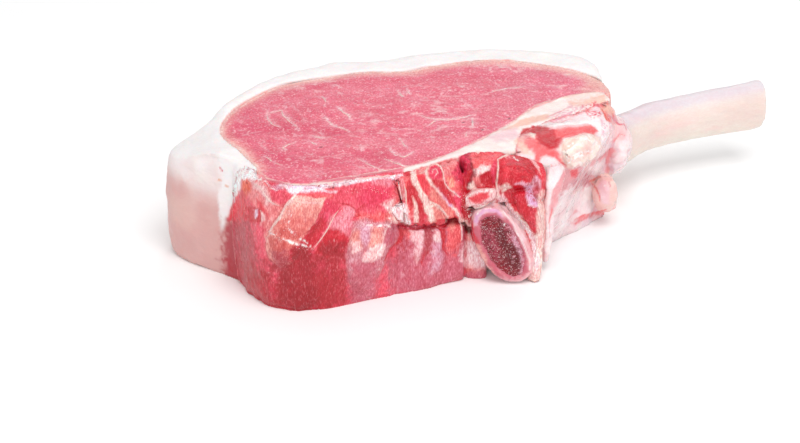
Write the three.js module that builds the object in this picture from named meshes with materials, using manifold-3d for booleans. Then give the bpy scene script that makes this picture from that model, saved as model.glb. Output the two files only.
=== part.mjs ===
// A raw pork rib chop, sawn thick across the loin and lying on its side, with the rib bone trimmed bare.
// The cut shows the round loin muscle, a cap of back fat round its far and left side, a seam of fat
// along its near side, and outside the seam the small muscles of the spine with the sawn spine bone.
// Millimetres, +Z up, +Y away from the spine side. Plan positions are measured from a point on the
// board under the middle of the chop's near half; the last lines move the whole to its own centre.
import * as THREE from "three";
import { mergeVertices } from "three/addons/utils/BufferGeometryUtils.js";
import Module from "manifold-3d";

const wasm = await Module();
wasm.setup();

// Driving sizes
const THICKNESS = 35; // from cut face to cut face
const GAP = 0.4; // left between two pieces that touch
const FAT_DROP = 5.5; // how far the cut face sinks at the left end of the fat
const SHOULDER_DROP = 5.5; // how far it sinks at the rib side
const WAVE = 0.45; // height of the soft waves of the cut face
const BONE_TALL = 13.8; // the rib, measured along the chop's thickness
const BONE_WIDE = 8.5;
const STRAND_DEPTH = 3.2; // the spine muscles stand this far in front of the seam
const FLAP_DEPTH = 1.7; // skins of sinew that lie on the near wall

// The outline of the loin muscle, from its right tip round the far side to the left and back.
const EYE = [
  [58, 11], [55.3, 20], [46, 27], [33, 31.6], [18, 31.8], [9.5, 29], [3, 25.2], [-9, 24], [-22, 21],
  [-34, 14.5], [-42.5, 4], [-47.3, -8], [-47.5, -18], [-42, -27], [-37.5, -37], [-33.5, -45],
  [-26, -47.5], [-16, -45], [-6, -41], [3, -37.6], [13, -29.5], [24, -18], [32, -7.5], [38.5, 2],
  [47, 7.5],
];
// The outer side of the fat, from the right tip to the left end of the near wall.
const FAT_SIDE = [
  [56.8, 23.6], [57, 28.5], [54.6, 34.6], [48.6, 39.2], [38, 42], [24, 42.6], [12, 41], [4, 38.6],
  [-6, 34.6], [-16, 33.6], [-25, 29.6], [-33, 24.8], [-39.5, 17.6], [-44.5, 9.5], [-49, 1.5],
  [-53, -6.5], [-59, -9.5], [-62.8, -15], [-61, -21.5], [-55, -26.6], [-48, -31], [-43, -34.4],
];
// The near wall of the small muscles, and the wall on the rib side.
const CHAIN_SIDE = [
  [-42.6, -36.2], [-39.6, -42.5], [-35, -48.6], [-27.5, -51.8], [-18.5, -49.9], [-10, -46.3], [-2.4, -43.4],
];
const RIB_SIDE = [
  [31.2, -28.2], [38.4, -28.4], [42.8, -27], [47.4, -23.4], [52, -17], [55.8, -9.5], [58.6, -2], [61.2, 7.4],
];
// How thick the seam of fat is along the muscle's outline: [place on the outline, thickness].
const SEAM_WIDTH = [
  [14.5, 0.9], [15.6, 1.4], [16.6, 2.3], [17.4, 1.6], [18.4, 1.1], [19.6, 1.2], [20.1, 1.8], [20.3, 4.2],
  [20.5, 6], [20.7, 8.6], [20.85, 10], [21.03, 8.2], [21.2, 6.2], [21.5, 5], [21.8, 5.4], [22.2, 7],
  [22.6, 8.6], [23.4, 10], [24, 9.4], [24.3, 7.8], [24.6, 5], [24.85, 2.8],
];
const FAT_END = 14.3; // places on the outline where the fat ends and the seam starts
const SEAM_START = 14.55;
const SEAM_END = 24.75;

// Reads a value off a list of [place, value] pairs, straight between them.
function along(pairs, place) {
  const next = pairs.findIndex(([p]) => p >= place);
  if (next === 0) return pairs[0][1];
  if (next < 0) return pairs[pairs.length - 1][1];
  const [p0, v0] = pairs[next - 1];
  const [p1, v1] = pairs[next];
  return v0 + ((v1 - v0) * (place - p0)) / (p1 - p0);
}

const smooth = (x) => THREE.MathUtils.smoothstep(x, 0, 1);
const lerp = THREE.MathUtils.lerp;

function curve(points, closed = false) {
  const path = points.map(([x, y]) => new THREE.Vector3(x, y, 0));
  return new THREE.CatmullRomCurve3(path, closed, "centripetal");
}

// Points spread evenly along a curve, as plain 2-D points.
function spaced(path, count) {
  return path.getSpacedPoints(count).map((p) => new THREE.Vector2(p.x, p.y));
}

const eyeCurve = curve(EYE, true);

// A point that lies a distance outside the loin muscle's outline, at a place on it.
function besideEye(place, distance) {
  const t = (place / EYE.length) % 1;
  const p = eyeCurve.getPoint(t);
  const d = eyeCurve.getTangent(t);
  return new THREE.Vector2(p.x + d.y * distance, p.y - d.x * distance);
}

function seamWidth(place) {
  return along(SEAM_WIDTH, place);
}

// Soft unevenness of a cut or trimmed surface, between -1 and 1.
function waves(x, y, length = 26) {
  const k = (2 * Math.PI) / length;
  const slow = Math.sin(k * x + 0.7) * Math.cos(k * 0.8 * y - 0.4);
  const fast = Math.sin(k * 2.1 * x - k * 1.3 * y + 1.9) + Math.cos(k * 2.7 * y + k * 0.6 * x);
  return 0.6 * slow + 0.2 * fast;
}

// Height of the upper cut face: level on the loin, sinking at the fat's left end and at the rib side.
function cutFace(x, y) {
  const leftEnd = smooth((-47 - x) / 15) * FAT_DROP;
  const ribward = ((x - 31) * 0.72 - (y + 17) * 0.69) / 17;
  const shoulder = SHOULDER_DROP * Math.max(0, ribward) ** 2;
  return THICKNESS + WAVE * waves(x, y) - leftEnd - shoulder;
}

// Joins equal rings of points into one closed solid: a strip of faces between each pair of rings,
// and a fan on the first and on the last.
function loft(rings) {
  const count = rings[0].length;
  const points = rings.flat();
  const faces = [];
  for (let r = 0; r + 1 < rings.length; r++) {
    for (let i = 0; i < count; i++) {
      const j = (i + 1) % count;
      const [a, b, c, d] = [r * count + i, r * count + j, (r + 1) * count + j, (r + 1) * count + i];
      faces.push(a, b, c, a, c, d);
    }
  }
  for (const [ring, first] of [[rings[0], true], [rings[rings.length - 1], false]]) {
    const start = first ? 0 : (rings.length - 1) * count;
    const centre = points.length;
    points.push(ring.reduce((sum, p) => sum.add(p), new THREE.Vector3()).divideScalar(count));
    for (let i = 0; i < count; i++) {
      const j = (i + 1) % count;
      if (first) faces.push(centre, start + j, start + i);
      else faces.push(centre, start + i, start + j);
    }
  }
  return closedSurface(points, faces);
}

// A closed surface from its points and faces. The faces are turned over if they enclose less than
// nothing, so they always face outwards.
function closedSurface(points, faces) {
  let volume = 0;
  for (let i = 0; i < faces.length; i += 3) {
    const [a, b, c] = [points[faces[i]], points[faces[i + 1]], points[faces[i + 2]]];
    volume += a.dot(new THREE.Vector3().crossVectors(b, c));
  }
  const geometry = new THREE.BufferGeometry().setFromPoints(points);
  geometry.setIndex(volume > 0 ? faces : faces.slice().reverse());
  geometry.computeVertexNormals();
  return geometry;
}

// A flat piece with a rounded rim, such as a muscle cut across. The outline is a closed list of 2-D
// points, counter-clockwise; each ring says how far it lies inwards, from 0 at the outline to 1 at the
// spine line in the middle, and its height share. place turns (a, b, height share) into a point.
function puck(outline, spine, rings, place) {
  const [s0, s1] = spine.map(([a, b]) => new THREE.Vector2(a, b));
  const run = s1.clone().sub(s0);
  const length = Math.max(run.lengthSq(), 1e-9);
  const nearest = (p) => {
    const share = THREE.MathUtils.clamp(p.clone().sub(s0).dot(run) / length, 0, 1);
    return s0.clone().addScaledVector(run, share);
  };
  return loft(rings.map(([inward, share]) => outline.map((p) => {
    const q = p.clone().lerp(nearest(p), inward);
    return place(q.x, q.y, share);
  })));
}

const UPRIGHT_RINGS = [
  [0.92, 0], [0.5, 0], [0.05, 0], [0, 0.03], [0, 0.5], [0, 0.965], [0.03, 0.995], [0.1, 1], [0.25, 1],
  [0.42, 1], [0.6, 1], [0.78, 1], [0.94, 1],
];

// Skins were pressed on from the near side and a little above.
const LAID = new THREE.Vector3(0, 0.89, -0.454).normalize();

// A piece that lies on another, such as a skin of sinew on the wall behind it. Its outline is a list of
// 3-D points and its spine line two more, moved in the direction in which skins are laid until they meet
// the piece behind. The front bulges and its rim is rounded.
const SKIN_RINGS = [
  [0.8, 0], [0.42, 0], [0.1, 0], [0, 0.12], [0, 0.55], [0.08, 0.86], [0.3, 1], [0.64, 1.08], [0.9, 1.1],
];

function skin(base, outline, spine, thickness, around = 16, clearance = 1.5 * GAP) {
  const back = new THREE.Mesh(base);
  const edge = new THREE.CatmullRomCurve3(outline, true, "centripetal");
  const rim = edge.getSpacedPoints(around).slice(0, around);
  const middle = new THREE.Line3(...spine);
  const ray = new THREE.Raycaster();
  return loft(SKIN_RINGS.map(([inward, share]) => rim.map((p) => {
    const q = p.clone().lerp(middle.closestPointToPoint(p, true, new THREE.Vector3()), inward);
    ray.set(q.clone().addScaledVector(LAID, -60), LAID);
    const [hit] = ray.intersectObject(back);
    if (!hit) throw new Error(`nothing behind ${q.toArray()}`);
    return hit.point.clone().addScaledVector(LAID, -clearance - thickness * share);
  })));
}

// How far out the near wall stands at each x, as a y value, at the height of its middle.
const WALL = [
  ...CHAIN_SIDE.map(([x, y]) => [x, y - 1.5]), [3, -42], [9, -40], [15, -37], [19, -35], [40, -35],
];

// A skin on the near wall, from the x and height of its outline and spine.
function wallSkin(base, outline, spine, thickness, around) {
  const placed = (points) => points.map(([x, z]) => new THREE.Vector3(x, along(WALL, x), z));
  return skin(base, placed(outline), placed(spine), thickness, around);
}

// The ring of one section of a band, as [share across, height share]: along the floor from the inner
// side to the outer, up the outer side, back along the top and down the inner side.
function sectionRing(width, height, rounds, across, up) {
  const [lowIn, lowOut, topOut, topIn] = rounds;
  const steps = (n, from, to) => Array.from({ length: n + 1 }, (_, i) => lerp(from, to, i / n));
  const bend = 1 - Math.SQRT1_2;
  const ring = [
    ...steps(across, lowIn, width - lowOut).map((a) => [a, 0]),
    [width - lowOut * bend, lowOut * bend],
    ...steps(up, lowOut, height - topOut).map((h) => [width, h]),
    [width - topOut * bend, height - topOut * bend],
    ...steps(across, width - topOut, topIn).map((a) => [a, height]),
    [topIn * bend, height - topIn * bend],
    ...steps(up, height - topIn, lowIn).map((h) => [0, h]),
    [lowIn * bend, lowIn * bend],
  ];
  return ring.map(([a, h]) => [a / width, h / height]);
}

// A band that stands on the board between an inner and an outer line. face gives its top, foot its
// underside, and side shifts a point across by a distance that depends on its height share, inwards by
// no more than most of the band's width.
function band({ inner, outer, face = cutFace, foot = () => 0, rounds, across = 3, up = 4, side = () => 0 }) {
  return loft(inner.map((p, i) => {
    const q = outer[i];
    const t = i / (inner.length - 1);
    const width = p.distanceTo(q);
    const height = face((p.x + q.x) / 2, (p.y + q.y) / 2) - foot(t, 0.5);
    const fitted = rounds.map((r) => Math.min(r, width * 0.42, height * 0.3));
    return sectionRing(width, height, fitted, across, up).map(([a, h]) => {
      const share = a * (1 + Math.max(side(t, h) / width, -0.78));
      const point = p.clone().lerp(q, share);
      const low = foot(t, share);
      const z = low + h * (face(point.x, point.y) - low);
      return new THREE.Vector3(point.x, point.y, z);
    });
  }));
}

// The loin muscle, one lean round piece that shows on both cut faces.
function loinEye() {
  const outline = spaced(eyeCurve, 62).slice(0, 62);
  return puck(outline, [[-24, -27], [32, 14]], UPRIGHT_RINGS,
    (x, y, share) => new THREE.Vector3(x, y, share * cutFace(x, y)));
}

// The cap of back fat, thin behind the loin and a thick soft block at its left end.
function fatCap() {
  const steps = 38;
  const outer = spaced(curve(FAT_SIDE), steps);
  const inner = outer.map((_, i) => besideEye(lerp(0.75, FAT_END, i / steps), GAP));
  const bulge = (t, h) => 1.6 * Math.sin(Math.PI * h) * (0.6 + 0.4 * smooth((t - 0.7) / 0.3))
    + 0.7 * Math.sin(9 * t * Math.PI) * Math.sin(Math.PI * h);
  return band({ inner, outer, rounds: [0.4, 2.4, 2.6, 0.5], across: 3, up: 3, side: bulge });
}

// The seam of fat between the loin muscle and the small muscles, wide in the corner above the spine.
function seamFat() {
  const steps = 42;
  const places = Array.from({ length: steps + 1 }, (_, i) => lerp(SEAM_START, SEAM_END, i / steps));
  return band({
    inner: places.map((p) => besideEye(p, GAP)),
    outer: places.map((p) => besideEye(p, GAP + seamWidth(p))),
    rounds: [0.3, 0.3, 0.3, 0.3], across: 2, up: 2,
  });
}

// A point just outside the seam, where the next piece starts.
function besideSeam(place) {
  return besideEye(place, 2 * GAP + seamWidth(place));
}

// The lean on the near wall, from the fat to where the spine muscles start.
function chainMeat() {
  const steps = 22;
  const outer = spaced(curve(CHAIN_SIDE), steps);
  const inner = outer.map((_, i) => besideSeam(lerp(14.62, 18.42, i / steps)));
  const swell = (t, h) => (1 + 0.5 * Math.sin(7 * t + 4 * h)) * Math.sin(Math.PI * h);
  return band({ inner, outer, rounds: [0.3, 2, 2.6, 0.3], across: 2, up: 5, side: swell });
}

// The strands of the spine muscles fan out and down to the right, lean and fat by turns. Each lies
// between two lines on the wall, given by their x at the top and at the foot of the fan.
const FAN_TOP = [-1.6, 1.2, 3.2, 5.2, 7.2, 10.2, 12.6, 15.2];
const FAN_FOOT = [1.6, 4.2, 6.4, 9, 12, 15.4, 17.2, 18.8];
const FAN_TOP_LEVEL = 34.4;
const FAN_FOOT_LEVEL = [20.6, 19.8, 19.2, 18.4, 19.4, 17.6, 17.2];
const STRANDS = [
  "strand_lean_1", "strand_lean_2", "strand_lean_3", "strand_fat_1", "strand_lean_4", "strand_fat_2",
  "strand_lean_5",
];
// The line on which the strands lie, just outside the seam.
const STRAND_LINE = [[-2, -41.2], [3, -39.7], [8, -36.5], [13, -32.9], [16, -31.6], [19, -31.2]];

// Where a line of the fan lies at a share of its way down.
const fanLine = (i, share) => lerp(FAN_TOP[i], FAN_FOOT[i], share ** 0.85);

// A sine whose rounded top is squared off, for sections that are more box than oval.
const squared = (sine, power) => Math.sign(sine) * Math.abs(sine) ** power;

function strand(i) {
  const steps = 7;
  return loft(Array.from({ length: steps + 1 }, (_, s) => {
    const share = s / steps;
    const fullness = lerp(0.78, 1, Math.min(1, Math.sin(Math.PI * lerp(0.12, 0.93, share)) * 2.2));
    const level = lerp(FAN_TOP_LEVEL, FAN_FOOT_LEVEL[i], share);
    const left = fanLine(i, share) + 0.6 * GAP;
    const right = fanLine(i + 1, share) - 0.6 * GAP;
    return Array.from({ length: 12 }, (_, k) => {
      const angle = (2 * Math.PI * k) / 12;
      const x = (left + right) / 2 + ((right - left) / 2) * fullness * squared(Math.cos(angle), 0.6);
      const out = STRAND_DEPTH * fullness * (0.5 + 0.5 * fullness * squared(Math.sin(angle), 0.6));
      return new THREE.Vector3(x, along(STRAND_LINE, x) - GAP - out, level);
    });
  }));
}

// The darker meat under the fan, set back behind it.
function underMeat() {
  const steps = 12;
  const outer = spaced(curve([[-1.3, -41.6], [4, -40.6], [10, -37.8], [16.6, -35]]), steps);
  const inner = outer.map((_, i) => besideSeam(lerp(18.58, 20.15, i / steps)));
  return band({
    inner, outer, rounds: [0.3, 1.6, 1.2, 0.3], across: 2, up: 4,
    face: (x) => along([[-2, 19.6], [6, 18], [12, 16.8], [17, 16.2]], x),
    side: (t, h) => 0.6 * Math.sin(14 * t) * Math.sin(Math.PI * h),
  });
}

// An upright block with its near corners rounded. Each level is its height, its left and right sides
// as x, its front as y and its back as the y of the left and right corners.
function column(levels) {
  return loft(levels.map(([z, left, right, front, backLeft, backRight]) => {
    const corner = Math.min(right - left, backLeft - front) * 0.3;
    const middle = (left + right) / 2;
    return [
      [left, backLeft], [left, front + corner],
      [left + corner * 0.6, front + corner * 0.2], [middle, front - 0.15],
      [right - corner * 0.6, front + corner * 0.2], [right, front + corner], [right, backRight],
    ].map(([x, y]) => new THREE.Vector3(x, y, z));
  }));
}

// The sawn foot of the spine's upright blade, dark with marrow, between the strands and the spine.
function featherBone() {
  return column([
    [23, 18.9, 20, -33.6, -30.6, -29.4], [23.6, 18.5, 20.2, -34, -30.6, -29.4],
    [27, 17.6, 20.2, -34.2, -30.6, -29.4], [31, 16.9, 20.2, -34, -30.6, -29.4],
    [33.8, 16.5, 20.2, -33.4, -30.6, -29.4], [34.5, 17, 19.8, -32.8, -30.8, -29.6],
  ]);
}

// The tissue over the spine bone, which carries the red patch and the facet of a joint.
const SPINE_FOOT = 23.4; // height of its underside
function spineMeat() {
  const steps = 9;
  const outer = spaced(curve([[20.7, -33], [24.5, -34.3], [31, -34.8], [37.3, -33.6]]), steps);
  const inner = outer.map((p) => new THREE.Vector2(p.x, p.x < 24 ? -29.5 : -28.9));
  return band({
    inner, outer, rounds: [0.3, 1.2, 3, 0.3], across: 2, up: 2, foot: () => SPINE_FOOT,
    side: (t, h) => 0.5 * Math.sin(9 * t + 3 * h) * Math.sin(Math.PI * h),
  });
}

// A flat front at y, for pieces that stand on several others at once.
const flatFront = (y) => new THREE.PlaneGeometry(90, 60).rotateX(Math.PI / 2).translate(20, y, 17);

// The sawn spine bone: an oval that leans to the right, standing on the board, with a cartilage rim.
const OVAL = { x: 26.9, z: 11.55, wide: 7, tall: 11.9, lean: 0.4, back: -29.9, depth: 6.7, rim: 1.5 };

function ovalPoint(angle, inset) {
  const a = squared(Math.cos(angle), 0.85) * (OVAL.wide - inset);
  const b = Math.sin(angle) * (OVAL.tall - inset);
  return new THREE.Vector2(
    OVAL.x + a * Math.cos(OVAL.lean) - b * Math.sin(OVAL.lean),
    OVAL.z + b * Math.cos(OVAL.lean) + a * Math.sin(OVAL.lean) * 0.55,
  );
}

function chineBone() {
  const outline = Array.from({ length: 26 }, (_, i) => ovalPoint((2 * Math.PI * i) / 26, OVAL.rim + GAP));
  const rings = [[0.8, 0], [0, 0.02], [0, 0.5], [0, 0.97], [0.12, 1], [0.45, 1], [0.75, 1]];
  return puck(outline, [[OVAL.x - 1.6, OVAL.z + 4], [OVAL.x + 1.6, OVAL.z - 4]], rings,
    (x, z, share) => new THREE.Vector3(x, OVAL.back - OVAL.depth * share + 0.25 * waves(x * 3, z * 3), z));
}

// The rim is a closed ring: each section is a small rounded block across it.
function cartilageRim() {
  const around = 30;
  const across = [[0, 0], [1, 0], [1, 0.5], [1, 0.93], [0.75, 1.03], [0.3, 1.03], [0, 0.95], [0, 0.5]];
  const rings = Array.from({ length: around }, (_, i) => across.map(([out, share]) => {
    const p = ovalPoint((2 * Math.PI * i) / around, OVAL.rim * (1 - out));
    return new THREE.Vector3(p.x, OVAL.back - OVAL.depth * share, p.y);
  }));
  return closedRing(rings);
}

// As loft, but the last ring joins the first again.
function closedRing(rings) {
  const count = rings[0].length;
  const faces = [];
  rings.forEach((_, r) => {
    const s = (r + 1) % rings.length;
    for (let i = 0; i < count; i++) {
      const j = (i + 1) % count;
      faces.push(r * count + i, s * count + j, r * count + j, r * count + i, s * count + i, s * count + j);
    }
  });
  return closedSurface(rings.flat(), faces);
}

// The side of the oval at a height, left (-1) or right (1), with a clearance.
function ovalSide(z, way) {
  const near = Array.from({ length: 180 }, (_, i) => ovalPoint((2 * Math.PI * i) / 180, -1.6 * GAP))
    .filter((p) => Math.abs(p.y - z) < 0.9).map((p) => p.x);
  return way < 0 ? Math.min(...near) : Math.max(...near);
}

// The dark meat in the groove left of the spine bone, and the fatty strap right of it.
function neckMeat() {
  return column([0, 0.4, 4, 8, 11, 13].map((z) => {
    const left = lerp(17.8, 17.4, z / 13);
    return [z, left, Math.min(ovalSide(z, -1), 23) - 0.1, -33.4, -31, -30.4];
  }));
}

function spineStrap() {
  return column([0.6, 1.2, 5, 9, 13, 17, 21, 22.6].map((z) => {
    const right = along([[0, 37], [8, 37.6], [16, 37.8], [23, 37.2]], z);
    return [z, ovalSide(z, 1) + 0.1, right, -35.8, -29.2, -29.2];
  }));
}

// The meat on the rib side: a sloping shoulder above, hollow and drawn in below.
function ribMeat() {
  const steps = 18;
  const outer = spaced(curve(RIB_SIDE), steps);
  const inner = outer.map((_, i) => besideSeam(lerp(21.12, 24.6, i / steps)));
  const deep = (t) => lerp(2, 12.5, smooth(t * 3)) * lerp(1, 0.75, smooth((t - 0.75) / 0.25));
  const hollow = (t, h) => -deep(t) * (1 - h) ** 1.1
    + 0.8 * smooth((t - 0.25) * 4) * Math.sin(8 * t + 1) * Math.sin(Math.PI * h);
  return band({
    inner, outer, face: (x, y) => cutFace(x, y) - 5 * smooth((x - 55.5) / 5.5),
    rounds: [0.3, 1, 3.4, 0.4], across: 4, up: 5, side: hollow,
    foot: (t, a) => 3 * smooth((a - 0.35) / 0.65),
  });
}

// The pale blade of cartilage that stands at the corner between the near wall and the rib side.
function cartilageBlade() {
  const levels = [
    [3, 1.2, 38.9, -28.8], [8, 1.8, 39.2, -29.9], [14, 2.1, 39.4, -30.6], [20, 2.6, 39.6, -30.9],
    [25, 4, 40.2, -30.9], [29, 5.6, 40.8, -30.4], [32.4, 3.4, 40.4, -30],
  ];
  return loft(levels.map(([z, width, x, y]) => [[-0.5, 0.5], [-0.5, -0.5], [0, -0.9], [0.5, -0.5], [0.5, 0.5]]
    .map(([a, b]) => new THREE.Vector3(x + a * width * 0.94 - b * 0.2, y + a * width * 0.34 + b, z))));
}

// The red strip of lean between the fat layers of the shoulder, and the soft lump of fat below it.
function shoulderStrip(base) {
  const outline = [
    [34.9, -11.6], [36.6, -9.4], [39.1, -8.8], [42.4, -8.8],
    [48.6, -8.2], [52, -9.2], [52, -11.8], [48.6, -11.9],
    [44.1, -13.6], [41.2, -17.6], [40.8, -23.6], [39.4, -25.4], [37.1, -20.7], [35.4, -15.7],
  ].map(([x, y]) => new THREE.Vector3(x, y, 33));
  const spine = [new THREE.Vector3(38.4, -15.5, 33), new THREE.Vector3(49, -10.2, 33)];
  return skin(base, outline, spine, 0.9, 24);
}

function shoulderFat(base) {
  const outline = [
    [43.2, -14.8], [45.4, -10.4], [48.8, -7.9], [51.8, -7.4], [53.2, -10.4], [54, -16.8], [52.4, -21.4],
    [49.8, -22.6], [47.6, -25.8], [45.2, -26.4], [43.6, -22.6],
  ].map(([x, y]) => new THREE.Vector3(x, y, 30));
  const spine = [new THREE.Vector3(46.6, -18, 30), new THREE.Vector3(51, -13, 30)];
  return skin(base, outline, spine, 1.9, 22, 4.4 * GAP);
}

// The lobe of meat below the rib.
function meatLobe() {
  const geometry = new THREE.SphereGeometry(1, 14, 9);
  const place = geometry.getAttribute("position");
  for (let i = 0; i < place.count; i++) {
    const p = new THREE.Vector3().fromBufferAttribute(place, i);
    p.multiplyScalar(1 + 0.09 * Math.sin(5 * p.x + 2 * p.z) + 0.08 * Math.cos(6 * p.y - 3 * p.z));
    place.setXYZ(i, p.x * 3.3, p.y * 3.2, p.z * 5.4);
  }
  geometry.rotateZ(0.4).translate(57, -3, 10.4);
  return bareSurface(geometry);
}

// The geometry with its points joined, holding positions only.
function bareSurface(geometry) {
  const bare = geometry.clone();
  bare.deleteAttribute("normal");
  bare.deleteAttribute("uv");
  const joined = mergeVertices(bare, 1e-4);
  joined.computeVertexNormals();
  return joined;
}

// The bare rib: a flattened oval section on a gently bent line, wider at its sawn end.
const RIB_LINE = [[61.2, 13.2, 18.7], [69.5, 22, 18.7], [80, 28, 18.8], [92, 32.4, 19.2], [104.6, 36, 20]];
const ribPlaces = RIB_LINE.map((p) => new THREE.Vector3(...p));
const ribCurve = new THREE.CatmullRomCurve3(ribPlaces, false, "centripetal");
const RIB_AROUND = 20;

// A point of the rib's section: share of the way along, angle round it, and how far outside it.
function ribPoint(share, angle, grow, shrink = 1) {
  const d = ribCurve.getTangentAt(share);
  const sideways = new THREE.Vector3(d.y, -d.x, 0).normalize();
  const tall = (BONE_TALL / 2) * along([[0, 1.06], [0.3, 0.97], [0.7, 1], [1, 1.08]], share) + grow;
  const wide = (BONE_WIDE / 2) * along([[0, 1.02], [0.3, 1], [0.8, 0.96], [1, 1.04]], share) + grow;
  return ribCurve.getPointAt(share)
    .addScaledVector(sideways, wide * shrink * squared(Math.cos(angle), 0.8))
    .add(new THREE.Vector3(0, 0, tall * shrink * squared(Math.sin(angle), 0.95)));
}

const turns = (count) => Array.from({ length: count }, (_, i) => (2 * Math.PI * i) / count);

function ribBone() {
  const stations = [
    [0, 0.9], [0, 1], [0.06, 1], [0.14, 1], [0.24, 1], [0.34, 1], [0.44, 1], [0.54, 1], [0.64, 1], [0.74, 1],
    [0.84, 1], [0.92, 1], [0.985, 1], [1, 0.93],
  ];
  const ring = ([share, size]) => turns(RIB_AROUND).map((angle) => ribPoint(share, angle, 0, size));
  return loft(stations.map(ring));
}

function solid(geometry) {
  const bare = bareSurface(geometry);
  return new wasm.Manifold(new wasm.Mesh({
    numProp: 3,
    vertProperties: bare.attributes.position.array,
    triVerts: new Uint32Array(bare.index.array),
  }));
}

// The ragged mass of fat and meat left round the rib where it leaves the chop. It fills the corner
// between the shoulder and the rib, and stands nearer and higher than the rib. The rib's place in it, the
// shoulder and the end of the loin are cut away with a gap, and a sliver that this leaves is dropped.
function ribCollar(base) {
  const start = ribCurve.getTangentAt(0);
  const stations = [
    [-8.4, 1.6, 2.4], [-7, 2.6, 2.2], [-5.4, 2.9, 1.8], [-3.8, 2.6, 1.3],
    [-2.4, 1.8, 0.8], [-1.4, 1, 0.3], [-0.9, 0.5, 0],
  ];
  const rings = stations.map(([run, grow, nearer], s) => turns(24).map((angle) => {
    const ragged = 0.4 * Math.sin(5 * angle + 2 * s) + 0.25 * Math.cos(9 * angle - s);
    const below = Math.max(0, -Math.sin(angle));
    return ribPoint(0, angle, grow * (1 - 0.7 * below) + ragged)
      .addScaledVector(start, run + 0.4 * Math.sin(4 * angle))
      .add(new THREE.Vector3(0.3 * nearer, -0.7 * nearer, 0.4 * nearer));
  }));
  const hole = [-0.9, 2.5, 6].map((run) => turns(RIB_AROUND).map((angle) => (
    ribPoint(0, angle, GAP).addScaledVector(start, run))));
  let cut = solid(loft(rings)).subtract(solid(loft(hole)));
  for (const [x, y] of [[1, 0], [0.7, 0.7], [0, 1]])
    cut = cut.subtract(solid(base.clone().translate(1.2 * GAP * x, 1.2 * GAP * y, 0)));
  const loinEnd = new THREE.BoxGeometry(20, 40, 60).translate(58.5 - 10, 4.5 + 20, 18);
  const bodies = cut.subtract(solid(loinEnd)).decompose();
  return fromSolid(bodies.reduce((most, body) => (body.volume() > most.volume() ? body : most)));
}

// A manifold-3d solid as geometry.
function fromSolid(made) {
  const mesh = made.getMesh();
  const geometry = new THREE.BufferGeometry();
  geometry.setAttribute("position", new THREE.BufferAttribute(mesh.vertProperties, 3));
  geometry.setIndex(new THREE.BufferAttribute(mesh.triVerts, 1));
  geometry.computeVertexNormals();
  return geometry;
}

const MATERIALS = {
  lean: { color: 0xdf7284, roughness: 0.35 },
  redLean: { color: 0xcf2f40, roughness: 0.3 },
  paleLean: { color: 0xeb9a90, roughness: 0.32 },
  fat: { color: 0xf6efe9, roughness: 0.42 },
  seam: { color: 0xf3dcd8, roughness: 0.4 },
  marrow: { color: 0x9c2a3c, roughness: 0.5 },
  cartilage: { color: 0xe8c9d3, roughness: 0.3 },
  membrane: { color: 0xeec9c6, roughness: 0.3 },
  bone: { color: 0xefdfdb, roughness: 0.4 },
};

const chop = new THREE.Group();
chop.name = "pork_rib_chop";

function add(name, finish, geometry) {
  const material = new THREE.MeshStandardMaterial({ ...MATERIALS[finish], metalness: 0 });
  const mesh = new THREE.Mesh(geometry, material);
  mesh.name = name;
  chop.add(mesh);
}

const chain = chainMeat();
const spine = spineMeat();
const ribSide = ribMeat();

add("loin_eye", "lean", loinEye());
add("fat_cap", "fat", fatCap());
add("seam_fat", "seam", seamFat());
add("chain_meat", "redLean", chain);
STRANDS.forEach((name, i) => add(name, name.includes("fat") ? "fat" : "redLean", strand(i)));
add("under_meat", "redLean", underMeat());
add("feather_bone", "marrow", featherBone());
add("spine_meat", "seam", spine);
add("chine_bone", "marrow", chineBone());
add("cartilage_rim", "cartilage", cartilageRim());
add("neck_meat", "redLean", neckMeat());
add("spine_strap", "seam", spineStrap());
add("rib_meat", "membrane", ribSide);
add("cartilage_blade", "cartilage", cartilageBlade());
add("shoulder_strip", "redLean", shoulderStrip(ribSide));
add("shoulder_fat", "fat", shoulderFat(ribSide));
add("meat_lobe", "paleLean", meatLobe());
add("rib_collar", "membrane", ribCollar(ribSide));
add("rib_bone", "bone", ribBone());

// Skins, tabs and patches on the near wall: outline and spine line as x and height, and thickness.
add("sinew_flap", "paleLean", wallSkin(chain, [
  [-27.4, 32], [-19.4, 31.4], [-19.2, 29], [-22, 24.4], [-25.2, 20], [-27, 15.4], [-33, 14.6], [-34, 20.6],
  [-31, 25.6],
], [[-24.4, 28], [-30, 19]], FLAP_DEPTH, 20));
add("silverskin", "membrane", wallSkin(chain, [
  [-11.4, 22.6], [-6, 22.2], [-2.9, 22.8], [-2.9, 19.6], [-3.2, 15.6], [-4.2, 11.6], [-6, 8], [-8, 4.4],
  [-12, 5.4],
  [-13.2, 11], [-12.6, 17.4],
], [[-7, 19], [-9.2, 9]], FLAP_DEPTH * 0.8, 20));
add("fat_tab", "fat", wallSkin(flatFront(-44.9), [
  [-3.4, 23.6], [-1.9, 26.4], [-0.6, 27.2], [0.5, 24.8], [-0.2, 22], [-1.8, 22.4],
], [[-1.6, 25], [-0.8, 23.6]], 1, 12));
add("red_patch", "redLean", wallSkin(spine, [
  [26, 29], [25.9, 33.2], [29.6, 34.6], [33.6, 33.6], [35, 30.6], [32.6, 28.2], [29.2, 27.6],
], [[28.8, 31], [32.4, 31]], 1.2, 16));
add("spine_facet", "cartilage", wallSkin(flatFront(-34.9), [
  [17.2, 23.2], [16.8, 24.6], [19, 26.6], [22.4, 27.6], [24.9, 27], [24.6, 25], [22, 23.6], [19, 22.6],
], [[19, 24.4], [23, 26]], 1.8, 14));
add("red_streak", "redLean", wallSkin(flatFront(-36.3), [
  [29.4, 25.4], [30.6, 22.8], [34.8, 15], [36.4, 14.4], [36.6, 19], [35, 24], [32.8, 26.6],
], [[32.4, 23.6], [35.4, 17.6]], 1.2, 14));

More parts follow.
